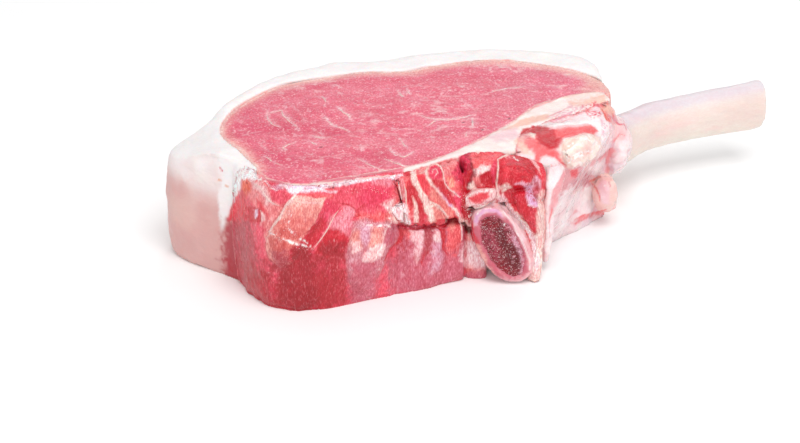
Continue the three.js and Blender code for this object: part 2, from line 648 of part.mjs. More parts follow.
// The origin is the middle of the chop's box, on the board.
const box = new THREE.Box3().setFromObject(chop);
const middle = box.getCenter(new THREE.Vector3());
chop.position.set(-middle.x, -middle.y, -box.min.z);

export default chop;
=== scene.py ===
# %% [markdown]
# # A raw rib chop, dressed for its photograph
#
# The chop is one thick slice through the back of a pig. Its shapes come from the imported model: the eye
# of the loin, the fat round it, the strands, the sawn spine bone and the long rib bone. This file gives
# each of them its fine surface and its colours. Sizes are in millimetres while we work, because a
# butcher thinks in millimetres, and they are turned into metres when a mesh is written.

import math

import bmesh
import bpy
import numpy as np
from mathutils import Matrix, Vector
from mathutils.bvhtree import BVHTree


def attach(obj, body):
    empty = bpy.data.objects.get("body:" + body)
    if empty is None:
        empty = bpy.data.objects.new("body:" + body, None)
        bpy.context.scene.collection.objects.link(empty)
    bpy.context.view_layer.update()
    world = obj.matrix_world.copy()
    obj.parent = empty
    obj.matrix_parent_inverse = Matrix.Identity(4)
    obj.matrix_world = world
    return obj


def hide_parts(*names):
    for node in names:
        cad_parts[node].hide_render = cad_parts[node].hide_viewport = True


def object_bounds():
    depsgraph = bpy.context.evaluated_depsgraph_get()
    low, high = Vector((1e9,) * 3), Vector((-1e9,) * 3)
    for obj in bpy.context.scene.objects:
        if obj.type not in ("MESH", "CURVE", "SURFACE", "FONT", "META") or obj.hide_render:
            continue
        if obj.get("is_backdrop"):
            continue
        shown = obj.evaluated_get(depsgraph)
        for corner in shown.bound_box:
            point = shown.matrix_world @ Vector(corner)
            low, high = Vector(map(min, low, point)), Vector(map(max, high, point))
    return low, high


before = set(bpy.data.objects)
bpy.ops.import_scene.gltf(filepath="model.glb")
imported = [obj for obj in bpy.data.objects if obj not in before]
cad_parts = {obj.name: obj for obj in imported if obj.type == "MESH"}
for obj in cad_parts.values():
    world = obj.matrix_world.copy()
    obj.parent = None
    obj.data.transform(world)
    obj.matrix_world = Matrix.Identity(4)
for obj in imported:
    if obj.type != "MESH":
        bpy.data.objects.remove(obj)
cad_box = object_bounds()
print("nodes in the frame:", len(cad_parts))

# %% [markdown]
# ## Small helpers
#
# A few jobs come back in every step: an object is added to the scene, the points of a mesh are read and
# written, a node of a material or a node tree gets its sockets. Each has one short function here.

# %% Objects, points and nodes
MM = 0.001
CAD_LOW = np.array(cad_box[0]) / MM
CAD_HIGH = np.array(cad_box[1]) / MM
BOX_MARGIN = 0.01


def add_object(name, data):
    """A new object at the origin of the scene."""
    made = bpy.data.objects.new(name, data)
    bpy.context.scene.collection.objects.link(made)
    return made


def object_from(bm, name):
    """Turns a bmesh into an object, and frees it."""
    mesh = bpy.data.meshes.new(name)
    bm.to_mesh(mesh)
    bm.free()
    return add_object(name, mesh)


def read_rows(items, name):
    """Three numbers of each item of a mesh, such as a point's place or its normal."""
    numbers = np.empty(len(items) * 3, np.float32)
    items.foreach_get(name, numbers)
    return numbers.reshape(-1, 3)


def write_points(mesh, at):
    """Moves a mesh's points to these places, in metres."""
    mesh.vertices.foreach_set("co", at.astype(np.float32).ravel())
    mesh.update()


def kept_in_box(at):
    """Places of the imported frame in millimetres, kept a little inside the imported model's box."""
    return np.clip(at, CAD_LOW + BOX_MARGIN, CAD_HIGH - BOX_MARGIN)


def search_tree(mesh):
    """A tree that finds the nearest point on a mesh, or the point where a ray meets it."""
    faces = [list(p.vertices) for p in mesh.polygons]
    return BVHTree.FromPolygons([v.co for v in mesh.vertices], faces)


def fill(node, sockets):
    """Links or sets the sockets of a node."""
    for socket, source in sockets.items():
        if isinstance(source, bpy.types.NodeSocket):
            node.id_data.links.new(source, node.inputs[socket])
        else:
            node.inputs[socket].default_value = source
    return node


def placed(tree, kind, sockets, **settings):
    """A new node of a tree, with its settings made and its sockets linked or set."""
    made = tree.nodes.new(kind)
    for key, value in settings.items():
        setattr(made, key, value)
    return fill(made, sockets)


print("packed box in millimetres:", (CAD_HIGH - CAD_LOW).round(2))

# %% [markdown]
# ## Where the camera stands
#
# The photograph was taken with a long lens from a low angle. The camera is made first, because the
# colours are laid on by looking through it: a vein or a red patch is named by the pixel where it shows,
# and is carried along the line of sight to the meat. The camera was fitted once to the chop's length
# and to the rims of its cut face, and its numbers are kept here.

# %% The camera
# the point on the table at which the camera looks; the chop's own millimetres are counted from it
MARK = np.array([-21.22, 5.335, 0.0])
PHOTO_WIDTH = 800
PHOTO_HEIGHT = 443
# all in millimetres: the lens, its sensor's width, the way from the lens to the mark, and how high the
# cut face lies
LENS = 100.0
SENSOR = 36.0
DISTANCE = 622.2
CUT_HEIGHT = 35.0
LOOK_DOWN = math.radians(27.0)
FORWARD = np.array([0.0, math.cos(LOOK_DOWN), -math.sin(LOOK_DOWN)])
RIGHT = np.array([1.0, 0.0, 0.0])
UP = np.cross(RIGHT, FORWARD)
EYE_POINT = -DISTANCE * FORWARD
PIXELS_PER_UNIT = PHOTO_WIDTH * LENS / SENSOR

camera = add_object("camera", bpy.data.cameras.new("camera"))
camera.data.lens = LENS
camera.data.sensor_width = SENSOR
camera.location = Vector((EYE_POINT + MARK) * MM)
camera.rotation_euler = (math.pi / 2 - LOOK_DOWN, 0.0, 0.0)
camera.data.clip_start = 0.05
camera.data.clip_end = 20.0
bpy.context.scene.camera = camera
print("camera at", [round(x, 3) for x in camera.location])


def seen(at):
    """The photo pixel at which the camera sees each point, given in the chop's millimetres."""
    ray = at - EYE_POINT
    deep = ray @ FORWARD
    across = PHOTO_WIDTH / 2 + PIXELS_PER_UNIT * (ray @ RIGHT) / deep
    down = PHOTO_HEIGHT / 2 - PIXELS_PER_UNIT * (ray @ UP) / deep
    return np.stack([across, down], 1)


def sight(across, down):
    """The direction in which the camera sees a photo pixel."""
    return (FORWARD * PIXELS_PER_UNIT + RIGHT * (across - PHOTO_WIDTH / 2)
            - UP * (down - PHOTO_HEIGHT / 2))


def on_cut(pixels):
    """Where photo pixels land on the level cut face, as x and y in the chop's millimetres."""
    places = []
    for across, down in pixels:
        ray = sight(across, down)
        landed = EYE_POINT + ray * (CUT_HEIGHT - EYE_POINT[2]) / ray[2]
        places.append((landed[0], landed[1]))
    return np.array(places)


# %% [markdown]
# ## The studio
#
# The chop lies on a plain pale table under a big soft light from the front, with a fill from the right
# and white walls all round. Raw meat looks fresh in such a light: the reds stay clear. One small low
# lamp gives the wet parts their sharp glints.

# %% Table and lights
# in metres
TABLE_SIZE = 6.0


def add_table():
    """A flat pale table, wide enough to fill every view."""
    half = TABLE_SIZE / 2
    mesh = bpy.data.meshes.new("table")
    corners = [(-half, -half, 0), (half, -half, 0), (half, half, 0), (-half, half, 0)]
    mesh.from_pydata(corners, [], [(0, 1, 2, 3)])
    table = add_object("table", mesh)
    material = bpy.data.materials.new("pale table")
    material.use_nodes = True
    fill(material.node_tree.nodes["Principled BSDF"],
         {"Base Color": (0.96, 0.96, 0.96, 1), "Roughness": 0.6, "Specular IOR Level": 0.2})
    mesh.materials.append(material)
    table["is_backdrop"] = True


def add_light(name, place, target, size, watts):
    """A square soft light that points from place to target, in millimetres."""
    data = bpy.data.lights.new(name, "AREA")
    data.shape = "SQUARE"
    data.size = size * MM
    data.energy = watts
    light = add_object(name, data)
    light.location = Vector(place) * MM
    aim = Vector(target) * MM - light.location
    light.rotation_euler = aim.to_track_quat("-Z", "Y").to_euler()
    print(name, "of", watts, "watts")


add_table()
add_light("key light", (120, -420, 800), (0, 0, 15), 520, 4.6)
add_light("side fill", (640, -420, 260), (30, 0, 15), 420, 0.9)
add_light("glint lamp", (-160, -720, 300), (0, -30, 20), 70, 0.8)
add_light("left fill", (-640, -240, 300), (-30, 0, 15), 420, 0.35)
add_light("back light", (200, 650, 620), (0, 0, 20), 500, 1.3)
world = bpy.data.worlds.new("white room")
world.use_nodes = True
fill(world.node_tree.nodes["Background"], {"Color": (1, 1, 1, 1), "Strength": 0.56})
bpy.context.scene.world = world
bpy.context.scene.view_settings.view_transform = "Standard"

# %% [markdown]
# ## Inks
#
# Flesh is painted in thin layers, as a model maker would do it: a ground colour for each tissue, then
# fat, blood and membrane over it. The inks are mixed as they look in daylight, in the usual
# 0 to 255 steps, and are turned into the renderer's linear light.

# %% The palette
INK_STEPS = {
    "rose": (234, 120, 139), "pale rose": (240, 146, 160), "dark rose": (220, 88, 114),
    "mauve rose": (228, 134, 152), "rim peach": (247, 178, 172), "vein": (253, 222, 226),
    "rosy red": (238, 98, 116), "thin pink": (243, 148, 153), "crimson": (208, 30, 58),
    "pale pink": (249, 208, 208), "orange red": (240, 108, 82), "salmon": (246, 162, 142),
    "coral": (238, 136, 130), "deep red": (220, 66, 86), "dark red": (186, 50, 66),
    "blood": (200, 42, 60), "frosted pink": (236, 162, 168), "lilac": (226, 172, 206),
    "fascia white": (251, 228, 236), "cream": (252, 226, 217), "white": (255, 246, 246),
    "orange": (240, 150, 92), "red": (235, 72, 88), "coral red": (241, 108, 112),
    "maroon": (150, 28, 50), "cream pink": (247, 208, 201), "dusky": (166, 72, 90),
    "lilac pink": (224, 162, 180), "peach": (249, 200, 184),
    "pink haze": (241, 182, 188), "seam white": (253, 238, 234), "rose red": (232, 78, 104),
    "magenta": (226, 110, 150), "peach pink": (244, 192, 182), "pale lilac": (242, 208, 228),
    "fat": (251, 246, 246), "fat blush": (246, 224, 218),
    "fat cream": (250, 238, 222), "core": (120, 26, 42), "core light": (138, 42, 58),
    "sinew": (243, 160, 152), "salmon pink": (242, 140, 142), "veil pink": (212, 136, 146),
    "dull coral": (218, 106, 102),
    "wall white": (252, 232, 234), "wall pink": (246, 208, 214), "wall lilac": (238, 214, 226),
    "fat side": (233, 198, 194), "fat low": (224, 176, 172), "dusky rose": (206, 108, 124),
    "shadow red": (168, 30, 46), "dull red": (186, 84, 92),
    "grain": (238, 176, 188), "lilac bone shade": (230, 216, 226), "bone blush": (236, 212, 206),
    "bone cream": (241, 228, 218), "dark speck": (90, 40, 44), "cartilage": (247, 214, 218),
}


# the wet film adds a veil of white and the lamps a gain, so an ink is mixed deeper by as much, but
# never below a share of itself
VEIL = 0.04
GAIN = 1.12
DEEPEST = 0.45
DARKEST_INK = 0.003
PALEST_INK = 0.95


def ink(name):
    """An ink's linear colour, mixed deeper by what the wet film and the light add to it."""
    steps = np.array(INK_STEPS[name]) / 255
    # the usual curve from the steps of a screen to amounts of light
    linear = np.where(steps <= 0.04045, steps / 12.92, ((steps + 0.055) / 1.055) ** 2.4)
    return np.clip(np.maximum((linear - VEIL) / GAIN, linear * DEEPEST), DARKEST_INK, PALEST_INK)


print(len(INK_STEPS), "inks")


# %% [markdown]
# ## Soft random lumps
#
# Nothing on meat is regular. The same small function roughens surfaces, frays the borders of patches
# and varies colour: random numbers on a grid, eased from one cell to the next, in one or more sizes.
# The numbers come from the cell's own place and a seed, so every run gives the same chop.

# %% Random lumps
# big odd numbers that stir a cell's place and a seed into a word of 32 bits
HASH_X, HASH_Y, HASH_Z, HASH_SEED = 73856093, 19349663, 83492791, 2654435761
HASH_MIX = 0x45D9F3B
WORD = 0xFFFFFFFF


def cell_value(cell, seed):
    """A random number from -1 to 1 for each cell of a grid."""
    x, y, z = (cell[:, axis].astype(np.int64) & WORD for axis in range(3))
    mixed = (x * HASH_X ^ y * HASH_Y ^ z * HASH_Z ^ seed * HASH_SEED) & WORD
    for _ in range(2):
        mixed = ((mixed >> 16 ^ mixed) * HASH_MIX) & WORD
    return (mixed >> 16 ^ mixed & WORD) / WORD * 2 - 1


def rough(at, size, seed, octaves=2, stretch=(1, 1, 1)):
    """Smooth random heights from about -1 to 1, in lumps of that size in millimetres."""
    total = np.zeros(len(at))
    share = 1.0
    shares = 0.0
    for octave in range(octaves):
        place = at / (np.array(stretch, float) * size) * 2 ** octave + seed * 3.7
        cell = np.floor(place)
        ease = place - cell
        ease = ease * ease * (3 - 2 * ease)
        for corner in np.ndindex(2, 2, 2):
            weight = np.prod(np.where(np.array(corner) == 1, ease, 1 - ease), axis=1)
            total += share * weight * cell_value(cell + np.array(corner), seed + octave)
        shares += share
        share /= 2
    return total / shares * 1.6


print("heights at three places:", rough(np.arange(9).reshape(3, 3) / 2, 1.0, 1).round(2))


# %% Soft masks
def ramp(value, low, high):
    """0 below low, 1 above high, and a soft step between."""
    step = np.clip((value - low) / (high - low), 0, 1)
    return step * step * (3 - 2 * step)


def distance_to(path, places):
    """How far each place is from a line through the path's points, and how far along it that is."""
    path = np.array(path, float)
    lengths = np.linalg.norm(np.diff(path, axis=0), axis=1)
    whole = lengths.sum()
    best = np.full(len(places), np.inf)
    along = np.zeros(len(places))
    gone = 0.0
    for start, end, length in zip(path[:-1], path[1:], lengths):
        run = end - start
        share = np.clip((places - start) @ run / max(length * length, 1e-12), 0, 1)
        far = np.linalg.norm(places - start - share[:, None] * run, axis=1)
        closer = far < best
        best[closer] = far[closer]
        along[closer] = ((gone + share * length) / whole)[closer]
        gone += length
    return best, along


def within(outline, places):
    """True for the places inside a closed outline."""
    odd = np.zeros(len(places), bool)
    x, y = places[:, 0], places[:, 1]
    for (x0, y0), (x1, y1) in zip(outline, outline[1:] + outline[:1]):
        if y0 != y1:
            odd ^= ((y0 > y) != (y1 > y)) & (x < (x1 - x0) * (y - y0) / (y1 - y0) + x0)
    return odd


def in_box_of(path, places, margin):
    """True for the places inside the box round a path, widened by a margin."""
    low = np.min(path, axis=0) - margin
    high = np.max(path, axis=0) + margin
    return np.all((places > low) & (places < high), axis=1)


def patch_mask(outline, places, soft, fray=None):
    """1 inside an outline, falling to 0 across a soft border that fray, a noise, makes ragged."""
    mask = np.zeros(len(places))
    near = in_box_of(outline, places, soft * 2)
    if near.any():
        far, _ = distance_to(outline + outline[:1], places[near])
        side = np.where(within(outline, places[near]), far, -far)
        if fray is not None:
            side = side + fray[near] * soft
        mask[near] = ramp(side, -soft, soft)
    return mask


def line_mask(path, places, width, taper=0.6):
    """1 on a line, falling to 0 at its width, and thinner towards both of its ends."""
    mask = np.zeros(len(places))
    near = in_box_of(path, places, width * 2)
    if near.any():
        far, along = distance_to(path, places[near])
        room = width * (1 - taper + taper * np.sin(math.pi * np.clip(along, 0.02, 0.98)) ** 0.5)
        mask[near] = 1 - ramp(far, room * 0.25, room)
    return mask


print("a ramp in five steps:", ramp(np.linspace(0, 1, 5), 0, 1).round(2))

# %% [markdown]
# ## Fine meshes
#
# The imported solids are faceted. Each piece starts as a copy of one or more of them: doubles are merged,
# triangles are joined to quads, sharp edges are creased, and a subdivision surface rounds the facets
# away. A voxel remesh then gives small even quads, which is what fine relief and painted attributes
# need, and it makes one skin of neighbours that touch. The solids themselves are never changed.

# %% Copies with small even faces
# an edge that turns by more than SHARP stays sharp, by a crease of that strength
SHARP = math.radians(42)
CREASED = 0.9
# away from the camera and down, the way in which a thin skin sinks into the wall behind it, and how
# many millimetres it sinks
INTO_WALL = np.array([0.0, 0.89, -0.454])
SINK = 1.3


def smooth_solid(node):
    """A merged copy of a node with quads and creased sharp edges."""
    bm = bmesh.new()
    bm.from_mesh(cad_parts[node].data)
    bmesh.ops.remove_doubles(bm, verts=bm.verts, dist=0.002 * MM)
    bmesh.ops.recalc_face_normals(bm, faces=bm.faces)
    bmesh.ops.join_triangles(
        bm, faces=bm.faces, angle_face_threshold=SHARP, angle_shape_threshold=SHARP)
    crease = bm.edges.layers.float.new("crease_edge")
    for edge in bm.edges:
        if edge.calc_face_angle(0) > SHARP:
            edge[crease] = CREASED
    return object_from(bm, node + " copy")


def bake_modifiers(piece):
    """Puts the result of a piece's modifiers into a plain mesh, and removes them."""
    bpy.context.view_layer.update()
    graph = bpy.context.evaluated_depsgraph_get()
    made = bpy.data.meshes.new_from_object(piece.evaluated_get(graph))
    old = piece.data
    piece.modifiers.clear()
    piece.data = made
    made.name = piece.name
    bpy.data.meshes.remove(old)
    return piece


def swollen(node, swell, sink):
    """A rounded copy of a node, grown by swell all round and by sink towards the wall behind it."""
    piece = smooth_solid(node)
    rounding = piece.modifiers.new("rounding", "SUBSURF")
    rounding.levels = 2
    rounding.render_levels = 2
    bake_modifiers(piece)
    out = read_rows(piece.data.vertex_normals, "vector")
    at = read_rows(piece.data.vertices, "co") + out * swell * MM
    if sink:
        behind = np.clip((out @ INTO_WALL - 0.1) / 0.5, 0, 1)
        at = at + behind[:, None] * INTO_WALL * sink * MM
    write_points(piece.data, at)
    return piece


def fine_copy(nodes, name, voxel, smoothing=4, swell=0.22, sinks=()):
    """One or more nodes, swollen until they touch, as one skin in quads of the voxel's size."""
    bm = bmesh.new()
    for node in nodes:
        part = swollen(node, swell, SINK if node in sinks else 0.0)
        bm.from_mesh(part.data)
        bpy.data.objects.remove(part)
    piece = object_from(bm, name)
    remesh = piece.modifiers.new("even quads", "REMESH")
    remesh.mode = "VOXEL"
    remesh.voxel_size = voxel * MM
    remesh.use_smooth_shade = True
    relax = piece.modifiers.new("relax", "SMOOTH")
    relax.factor = 0.5
    relax.iterations = smoothing
    return bake_modifiers(piece)


print("edges that turn by more than", round(math.degrees(SHARP)), "degrees stay sharp")

# %% [markdown]
# ## Painting and pushing
#
# A coat of paint belongs to one piece. It knows where each point of the mesh is, which way it faces and
# at which pixel the photograph shows it. Ink is laid through a mask from 0 to 1, and the same mask can
# push the surface out or in, so that a vein stands up and a groove sinks. At the end the colours go
# into the mesh as an attribute that the material reads.

# %% A coat of paint
# all in millimetres: how near a neighbour counts as touching, the far mark of points that have no
# neighbour near, and how far round a node the nearest ink is looked for
TOUCHING = 0.45
FAR_AWAY = 99.0
INK_REACH = 3


def node_shape(node):
    """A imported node's points in millimetres, and a tree that finds the nearest point on it."""
    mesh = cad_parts[node].data
    return read_rows(mesh.vertices, "co").astype(float) / MM, search_tree(mesh)


def store_paint(mesh, colours, wetness):
    """Gives a mesh's points their colour and wetness, under the names that the materials read."""
    colours = np.concatenate([colours, np.ones((len(colours), 1))], axis=1)
    tissue_rows = mesh.attributes.new("tissue", "FLOAT_COLOR", "POINT")
    tissue_rows.data.foreach_set("color", np.clip(colours, 0, 1).astype(np.float32).ravel())
    wet_rows = mesh.attributes.new("wet", "FLOAT", "POINT")
    wet_rows.data.foreach_set("value", np.clip(wetness, 0, 1).astype(np.float32))


class Coat:
    """The points of a piece in the chop's millimetres, with their colour and wetness."""

    def __init__(self, piece, ground, wet):
        self.piece = piece
        self.at = read_rows(piece.data.vertices, "co").astype(float) / MM - MARK
        self.colour = np.tile(ink(ground), (len(self.at), 1))
        self.wet = np.full(len(self.at), wet)
        self.look()

    def look(self):
        """Measures the normals and the photo pixels again after the points have moved."""
        self.store()
        self.out = read_rows(self.piece.data.vertex_normals, "vector").astype(float)
        self.pixel = seen(self.at)
        way = EYE_POINT - self.at
        way /= np.linalg.norm(way, axis=1)[:, None]
        self.upward = ramp(self.out[:, 2], 0.55, 0.85)
        self.downward = ramp(-self.out[:, 2], 0.55, 0.85)
        self.shown = ramp(np.sum(self.out * way, axis=1), 0.05, 0.3)

    def store(self):
        """Writes the points back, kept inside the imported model's box."""
        kept = kept_in_box(self.at + MARK)
        self.at = kept - MARK
        write_points(self.piece.data, kept * MM)

    def lay(self, name, mask):
        """Lays an ink through a mask."""
        cover = np.clip(mask, 0, 1)[:, None]
        self.colour = self.colour * (1 - cover) + ink(name) * cover

    def push(self, height):
        """Moves the surface out by a height in millimetres, or in where it is negative."""
        self.at = self.at + self.out * height[:, None]

    def wobble(self, size, amount, seed):
        """The pixels, moved a little at random so that borders come out ragged."""
        moved = [rough(self.at, size, seed + k) * amount for k in range(2)]
        return self.pixel + np.stack(moved, 1)

    def smoothed(self, rounds):
        """The points after each has moved to the middle of its neighbours a few times over."""
        edges = np.empty(len(self.piece.data.edges) * 2, np.int32)
        self.piece.data.edges.foreach_get("vertices", edges)
        first, second = edges.reshape(-1, 2).T
        ends = np.concatenate([first, second])
        others = np.concatenate([second, first])
        count = np.maximum(np.bincount(ends, minlength=len(self.at)), 1)
        smooth = self.at
        for _ in range(rounds):
            smooth = np.stack([np.bincount(ends, smooth[others, k], len(self.at)) / count
                               for k in range(3)], 1)
        return smooth

    def sunken(self, rounds=14):
        """How far each point lies below its smoothed surroundings, in millimetres."""
        return np.sum((self.smoothed(rounds) - self.at) * self.out, axis=1)

    def relax(self, where, rounds):
        """Takes the crumples out of the surface wherever the mask where says so."""
        self.at = self.at + (self.smoothed(rounds) - self.at) * where[:, None]
        self.look()

    def fill_and_shade_creases(self, name, strength):
        """Half fills the creases between pieces and tints them darker, as painted shade in the creases."""
        depth = self.sunken()
        self.lay(name, ramp(depth, 0.05, 0.2) * strength)
        self.push(np.clip(depth - 0.04, 0, 0.8) * 0.75)
        self.look()

    def soften(self, where, rounds=50):
        """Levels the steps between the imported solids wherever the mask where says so."""
        self.push(self.sunken(rounds) * where * 0.85)
        self.look()

    def join(self, node, name, reach=0.7, grow=0.45, cover=0.7):
        """Grows by grow towards a neighbour within reach, and inks it, so that no dark gap shows."""
        close = self.near(node, reach)
        self.lay(name, close * cover)
        self.push(close * grow)

    def crown(self, node, reach=1.0, height=0.4):
        """Lifts the upper border beside a neighbour, so that the two cut faces meet level."""
        close = self.near(node, reach) * ramp(self.out[:, 2], 0.1, 0.5) * ramp(self.at[:, 2], 28, 33)
        self.at[:, 2] += close * height

    def nearest(self, node, reach):
        """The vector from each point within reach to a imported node; long ones for all others."""
        corners, tree = node_shape(node)
        close = in_box_of(corners, self.at + MARK, reach + 1)
        way = np.full(self.at.shape, FAR_AWAY)
        found = [tree.find_nearest(Vector((p + MARK) * MM))[0] for p in self.at[close]]
        if found:
            way[close] = np.array(found) / MM - MARK - self.at[close]
        return way

    def near(self, node, reach):
        """1 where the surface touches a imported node, falling to 0 at that reach."""
        far = np.linalg.norm(self.nearest(node, reach), axis=1)
        return 1 - ramp(far, TOUCHING, TOUCHING + reach)

    def shut(self, node, where, reach):
        """Draws the points within reach of a neighbour to it, and so shuts the hole between them."""
        way = self.nearest(node, reach)
        pull = (1 - ramp(np.linalg.norm(way, axis=1), reach * 0.7, reach)) * where * 0.9
        self.at = self.at + way * pull[:, None]
        self.look()

    def ground(self, inks, ragged, seed, blend=0.35):
        """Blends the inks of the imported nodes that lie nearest, with ragged soft borders."""
        moved = [rough(self.at, 1.6, seed + k, 3) * ragged for k in range(3)]
        asked = self.at + np.stack(moved, 1) + MARK
        far = np.full((len(inks), len(asked)), np.inf)
        for row, node in zip(far, inks):
            corners, tree = node_shape(node)
            near = in_box_of(corners, asked, INK_REACH)
            row[near] = [tree.find_nearest(Vector(p * MM))[3] / MM for p in asked[near]]
        share = np.exp(-(far - far.min(0)) / blend)
        share /= share.sum(0)
        self.colour = share.T @ np.array([ink(name) for name in inks.values()])

    def finish(self, material, slot, *nodes):
        """Stores shape and colour, gives the piece its material and lets it stand for its nodes."""
        self.look()
        mesh = self.piece.data
        store_paint(mesh, self.colour, self.wet)
        mesh.polygons.foreach_set("use_smooth", [True] * len(mesh.polygons))
        mesh.materials.clear()
        mesh.materials.append(material)
        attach(self.piece, "root")
        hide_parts(*nodes)
        print(self.piece.name, len(mesh.polygons), "faces")
        return self.piece


print("neighbours within", TOUCHING, "mm count as touching")

# %% [markdown]
# ## What flesh is made of
#
# Wet flesh is not a flat colour under varnish. Light goes in, scatters and comes out redder, so the
# shader has a little subsurface light. A thin wet film lies on top, which is the coat. Between the
# painted colours and the film sit the fine things that no paint layer can carry: fibre bundles a third
# of a millimetre across, pale specks that stand for fat and for painted glints, darker spots, and a
# grain that breaks the highlights up. One function makes all the tissues, with its numbers as named
# arguments.

# %% The tissue material
# in millimetres: the broad mottling and the ends or lengths of fibre bundles
MOTTLE_SIZE = 6.0
FIBRE_SIZE = 0.3


def tissue(name, speckle=0.3, speckle_size=0.35, mottle=0.12, grain=0.25, grain_size=0.5, fibre=0.0,
           stretch=(1, 1, 1), dry=0.55, film=0.35, ripple=0.5, glow=0.25, glow_depth=0.9):
    """A material for flesh, fat, membrane or bone that reads the painted colour and wetness."""
    material = bpy.data.materials.new(name)
    material.use_nodes = True
    tree = material.node_tree
    place = placed(tree, "ShaderNodeTexCoord", {})
    turned = placed(tree, "ShaderNodeMapping", {
        "Vector": place.outputs["Object"], "Scale": tuple(1 / s for s in stretch)})

    def noise(size, detail=3.0, roughness=0.6):
        return placed(tree, "ShaderNodeTexNoise", {
            "Vector": turned.outputs["Vector"], "Scale": 1 / (size * MM), "Detail": detail,
            "Roughness": roughness}).outputs["Fac"]

    def between(value, low, high, to_low, to_high):
        return placed(tree, "ShaderNodeMapRange", {
            "Value": value, "From Min": low, "From Max": high, "To Min": to_low,
            "To Max": to_high}).outputs["Result"]

    def mixed(kind, factor, first, second):
        return placed(tree, "ShaderNodeMix", {0: factor, 6: first, 7: second}, data_type="RGBA",
                      blend_type=kind, clamp_factor=True).outputs[2]

    # broad mottling and fine fibre change the green and blue more than the red, as thinner flesh does
    paint = placed(tree, "ShaderNodeAttribute", {}, attribute_name="tissue")
    colour = paint.outputs["Color"]
    for size, amount in ((MOTTLE_SIZE, mottle), (FIBRE_SIZE, fibre)):
        shaded = between(noise(size), 0.35, 0.65, 1 - amount, 1 + amount)
        channels = {
            channel: between(shaded, 1 - amount, 1 + amount + 1e-4, 1 - amount * keep, 1 + amount * keep)
            for channel, keep in (("Red", 0.35), ("Green", 1.0), ("Blue", 0.9))}
        spread = placed(tree, "ShaderNodeCombineColor", channels)
        colour = mixed("MULTIPLY", 1.0, colour, spread.outputs["Color"])
    # pale specks: fat in the flesh, and painted glints on the wet fibre ends
    specks = between(noise(speckle_size, 2.0), 0.56, 0.7, 0.0, speckle)
    colour = mixed("MIX", specks, colour, (0.97, 0.76, 0.78, 1.0))
    # darker spots at random
    dark_spots = between(noise(speckle_size * 1.7, 2.0), 0.3, 0.45, speckle * 0.8, 0.0)
    darker = mixed("MULTIPLY", 1.0, colour, (0.86, 0.62, 0.66, 1.0))
    colour = mixed("MIX", dark_spots, colour, darker)

    wet = placed(tree, "ShaderNodeAttribute", {}, attribute_name="wet")
    dryness = between(wet.outputs["Fac"], 0.0, 1.0, dry, dry * 0.4)
    patchy = between(noise(1.4), 0.3, 0.7, 0.8, 1.25)
    uneven = placed(tree, "ShaderNodeMath", {0: dryness, 1: patchy}, operation="MULTIPLY")

    shader = fill(tree.nodes["Principled BSDF"], {
        "Base Color": colour, "Roughness": uneven.outputs["Value"], "Subsurface Weight": glow,
        "Subsurface Radius": (1.0, 0.32, 0.22), "Subsurface Scale": glow_depth * MM,
        "Specular IOR Level": 0.22, "Coat Weight": film, "Coat Roughness": 0.1})
    # the flesh is nearly smooth, while the film on it ripples and breaks the lamp into glints
    for socket, strength, size in (("Normal", grain, grain_size), ("Coat Normal", ripple, 1.0)):
        bump = placed(tree, "ShaderNodeBump", {
            "Strength": strength, "Distance": size * MM, "Height": noise(size, 3.0, 0.55)})
        fill(shader, {socket: bump.outputs["Normal"]})
    return material


LEAN = tissue("cut lean meat", speckle=0.4, speckle_size=0.34, grain=0.3, grain_size=0.4,
              fibre=0.26, stretch=(1.8, 2.2, 1), film=0.08, dry=0.6)
WET_MEAT = tissue("wet muscle", speckle=0.12, speckle_size=0.3, grain=0.25, grain_size=0.5,
                  fibre=0.46, stretch=(1, 1, 3.5), dry=0.5, film=0.38, ripple=0.6)
FAT = tissue("back fat", speckle=0.0, mottle=0.03, grain=0.18, grain_size=1.1, dry=0.62,
             film=0.12, glow=0.3, glow_depth=1.4)
SEAM = tissue("seam fat", speckle=0.05, mottle=0.08, grain=0.2, grain_size=0.7, fibre=0.05,
              dry=0.5, film=0.3)
MEMBRANE = tissue("membrane", speckle=0.06, speckle_size=0.6, mottle=0.1, grain=0.2, fibre=0.06,
                  grain_size=0.8, dry=0.45, film=0.35)
MARROW = tissue("sawn marrow", speckle=0.45, speckle_size=0.4, mottle=0.2, grain=0.7, fibre=0.5,
                grain_size=0.5, dry=0.5, film=0.25, glow=0.1)
CARTILAGE = tissue("cartilage", speckle=0.04, mottle=0.06, grain=0.12, grain_size=0.9, fibre=0.05,
                   dry=0.4, film=0.6)
BONE = tissue("scraped bone", speckle=0.03, speckle_size=0.8, mottle=0.05, grain=0.2,
              fibre=0.04, grain_size=0.7, stretch=(3, 3, 1), dry=0.5, film=0.25)
print([made.name for made in (LEAN, WET_MEAT, FAT, SEAM, MEMBRANE, MARROW, CARTILAGE, BONE)])

# %% [markdown]
# ## The eye of the loin
#
# The big rosy muscle was sawn straight across its fibres, so its face is nearly flat. It shows the cut
# ends of fibre bundles as a fine sparkle, and thin pale veins of fat that run mostly towards the lower
# right. A flat face with a picture on it would look dead from the side, so the face gets real relief:
# low waves from the knife, veins a tenth of a millimetre proud, and a fine tooth.

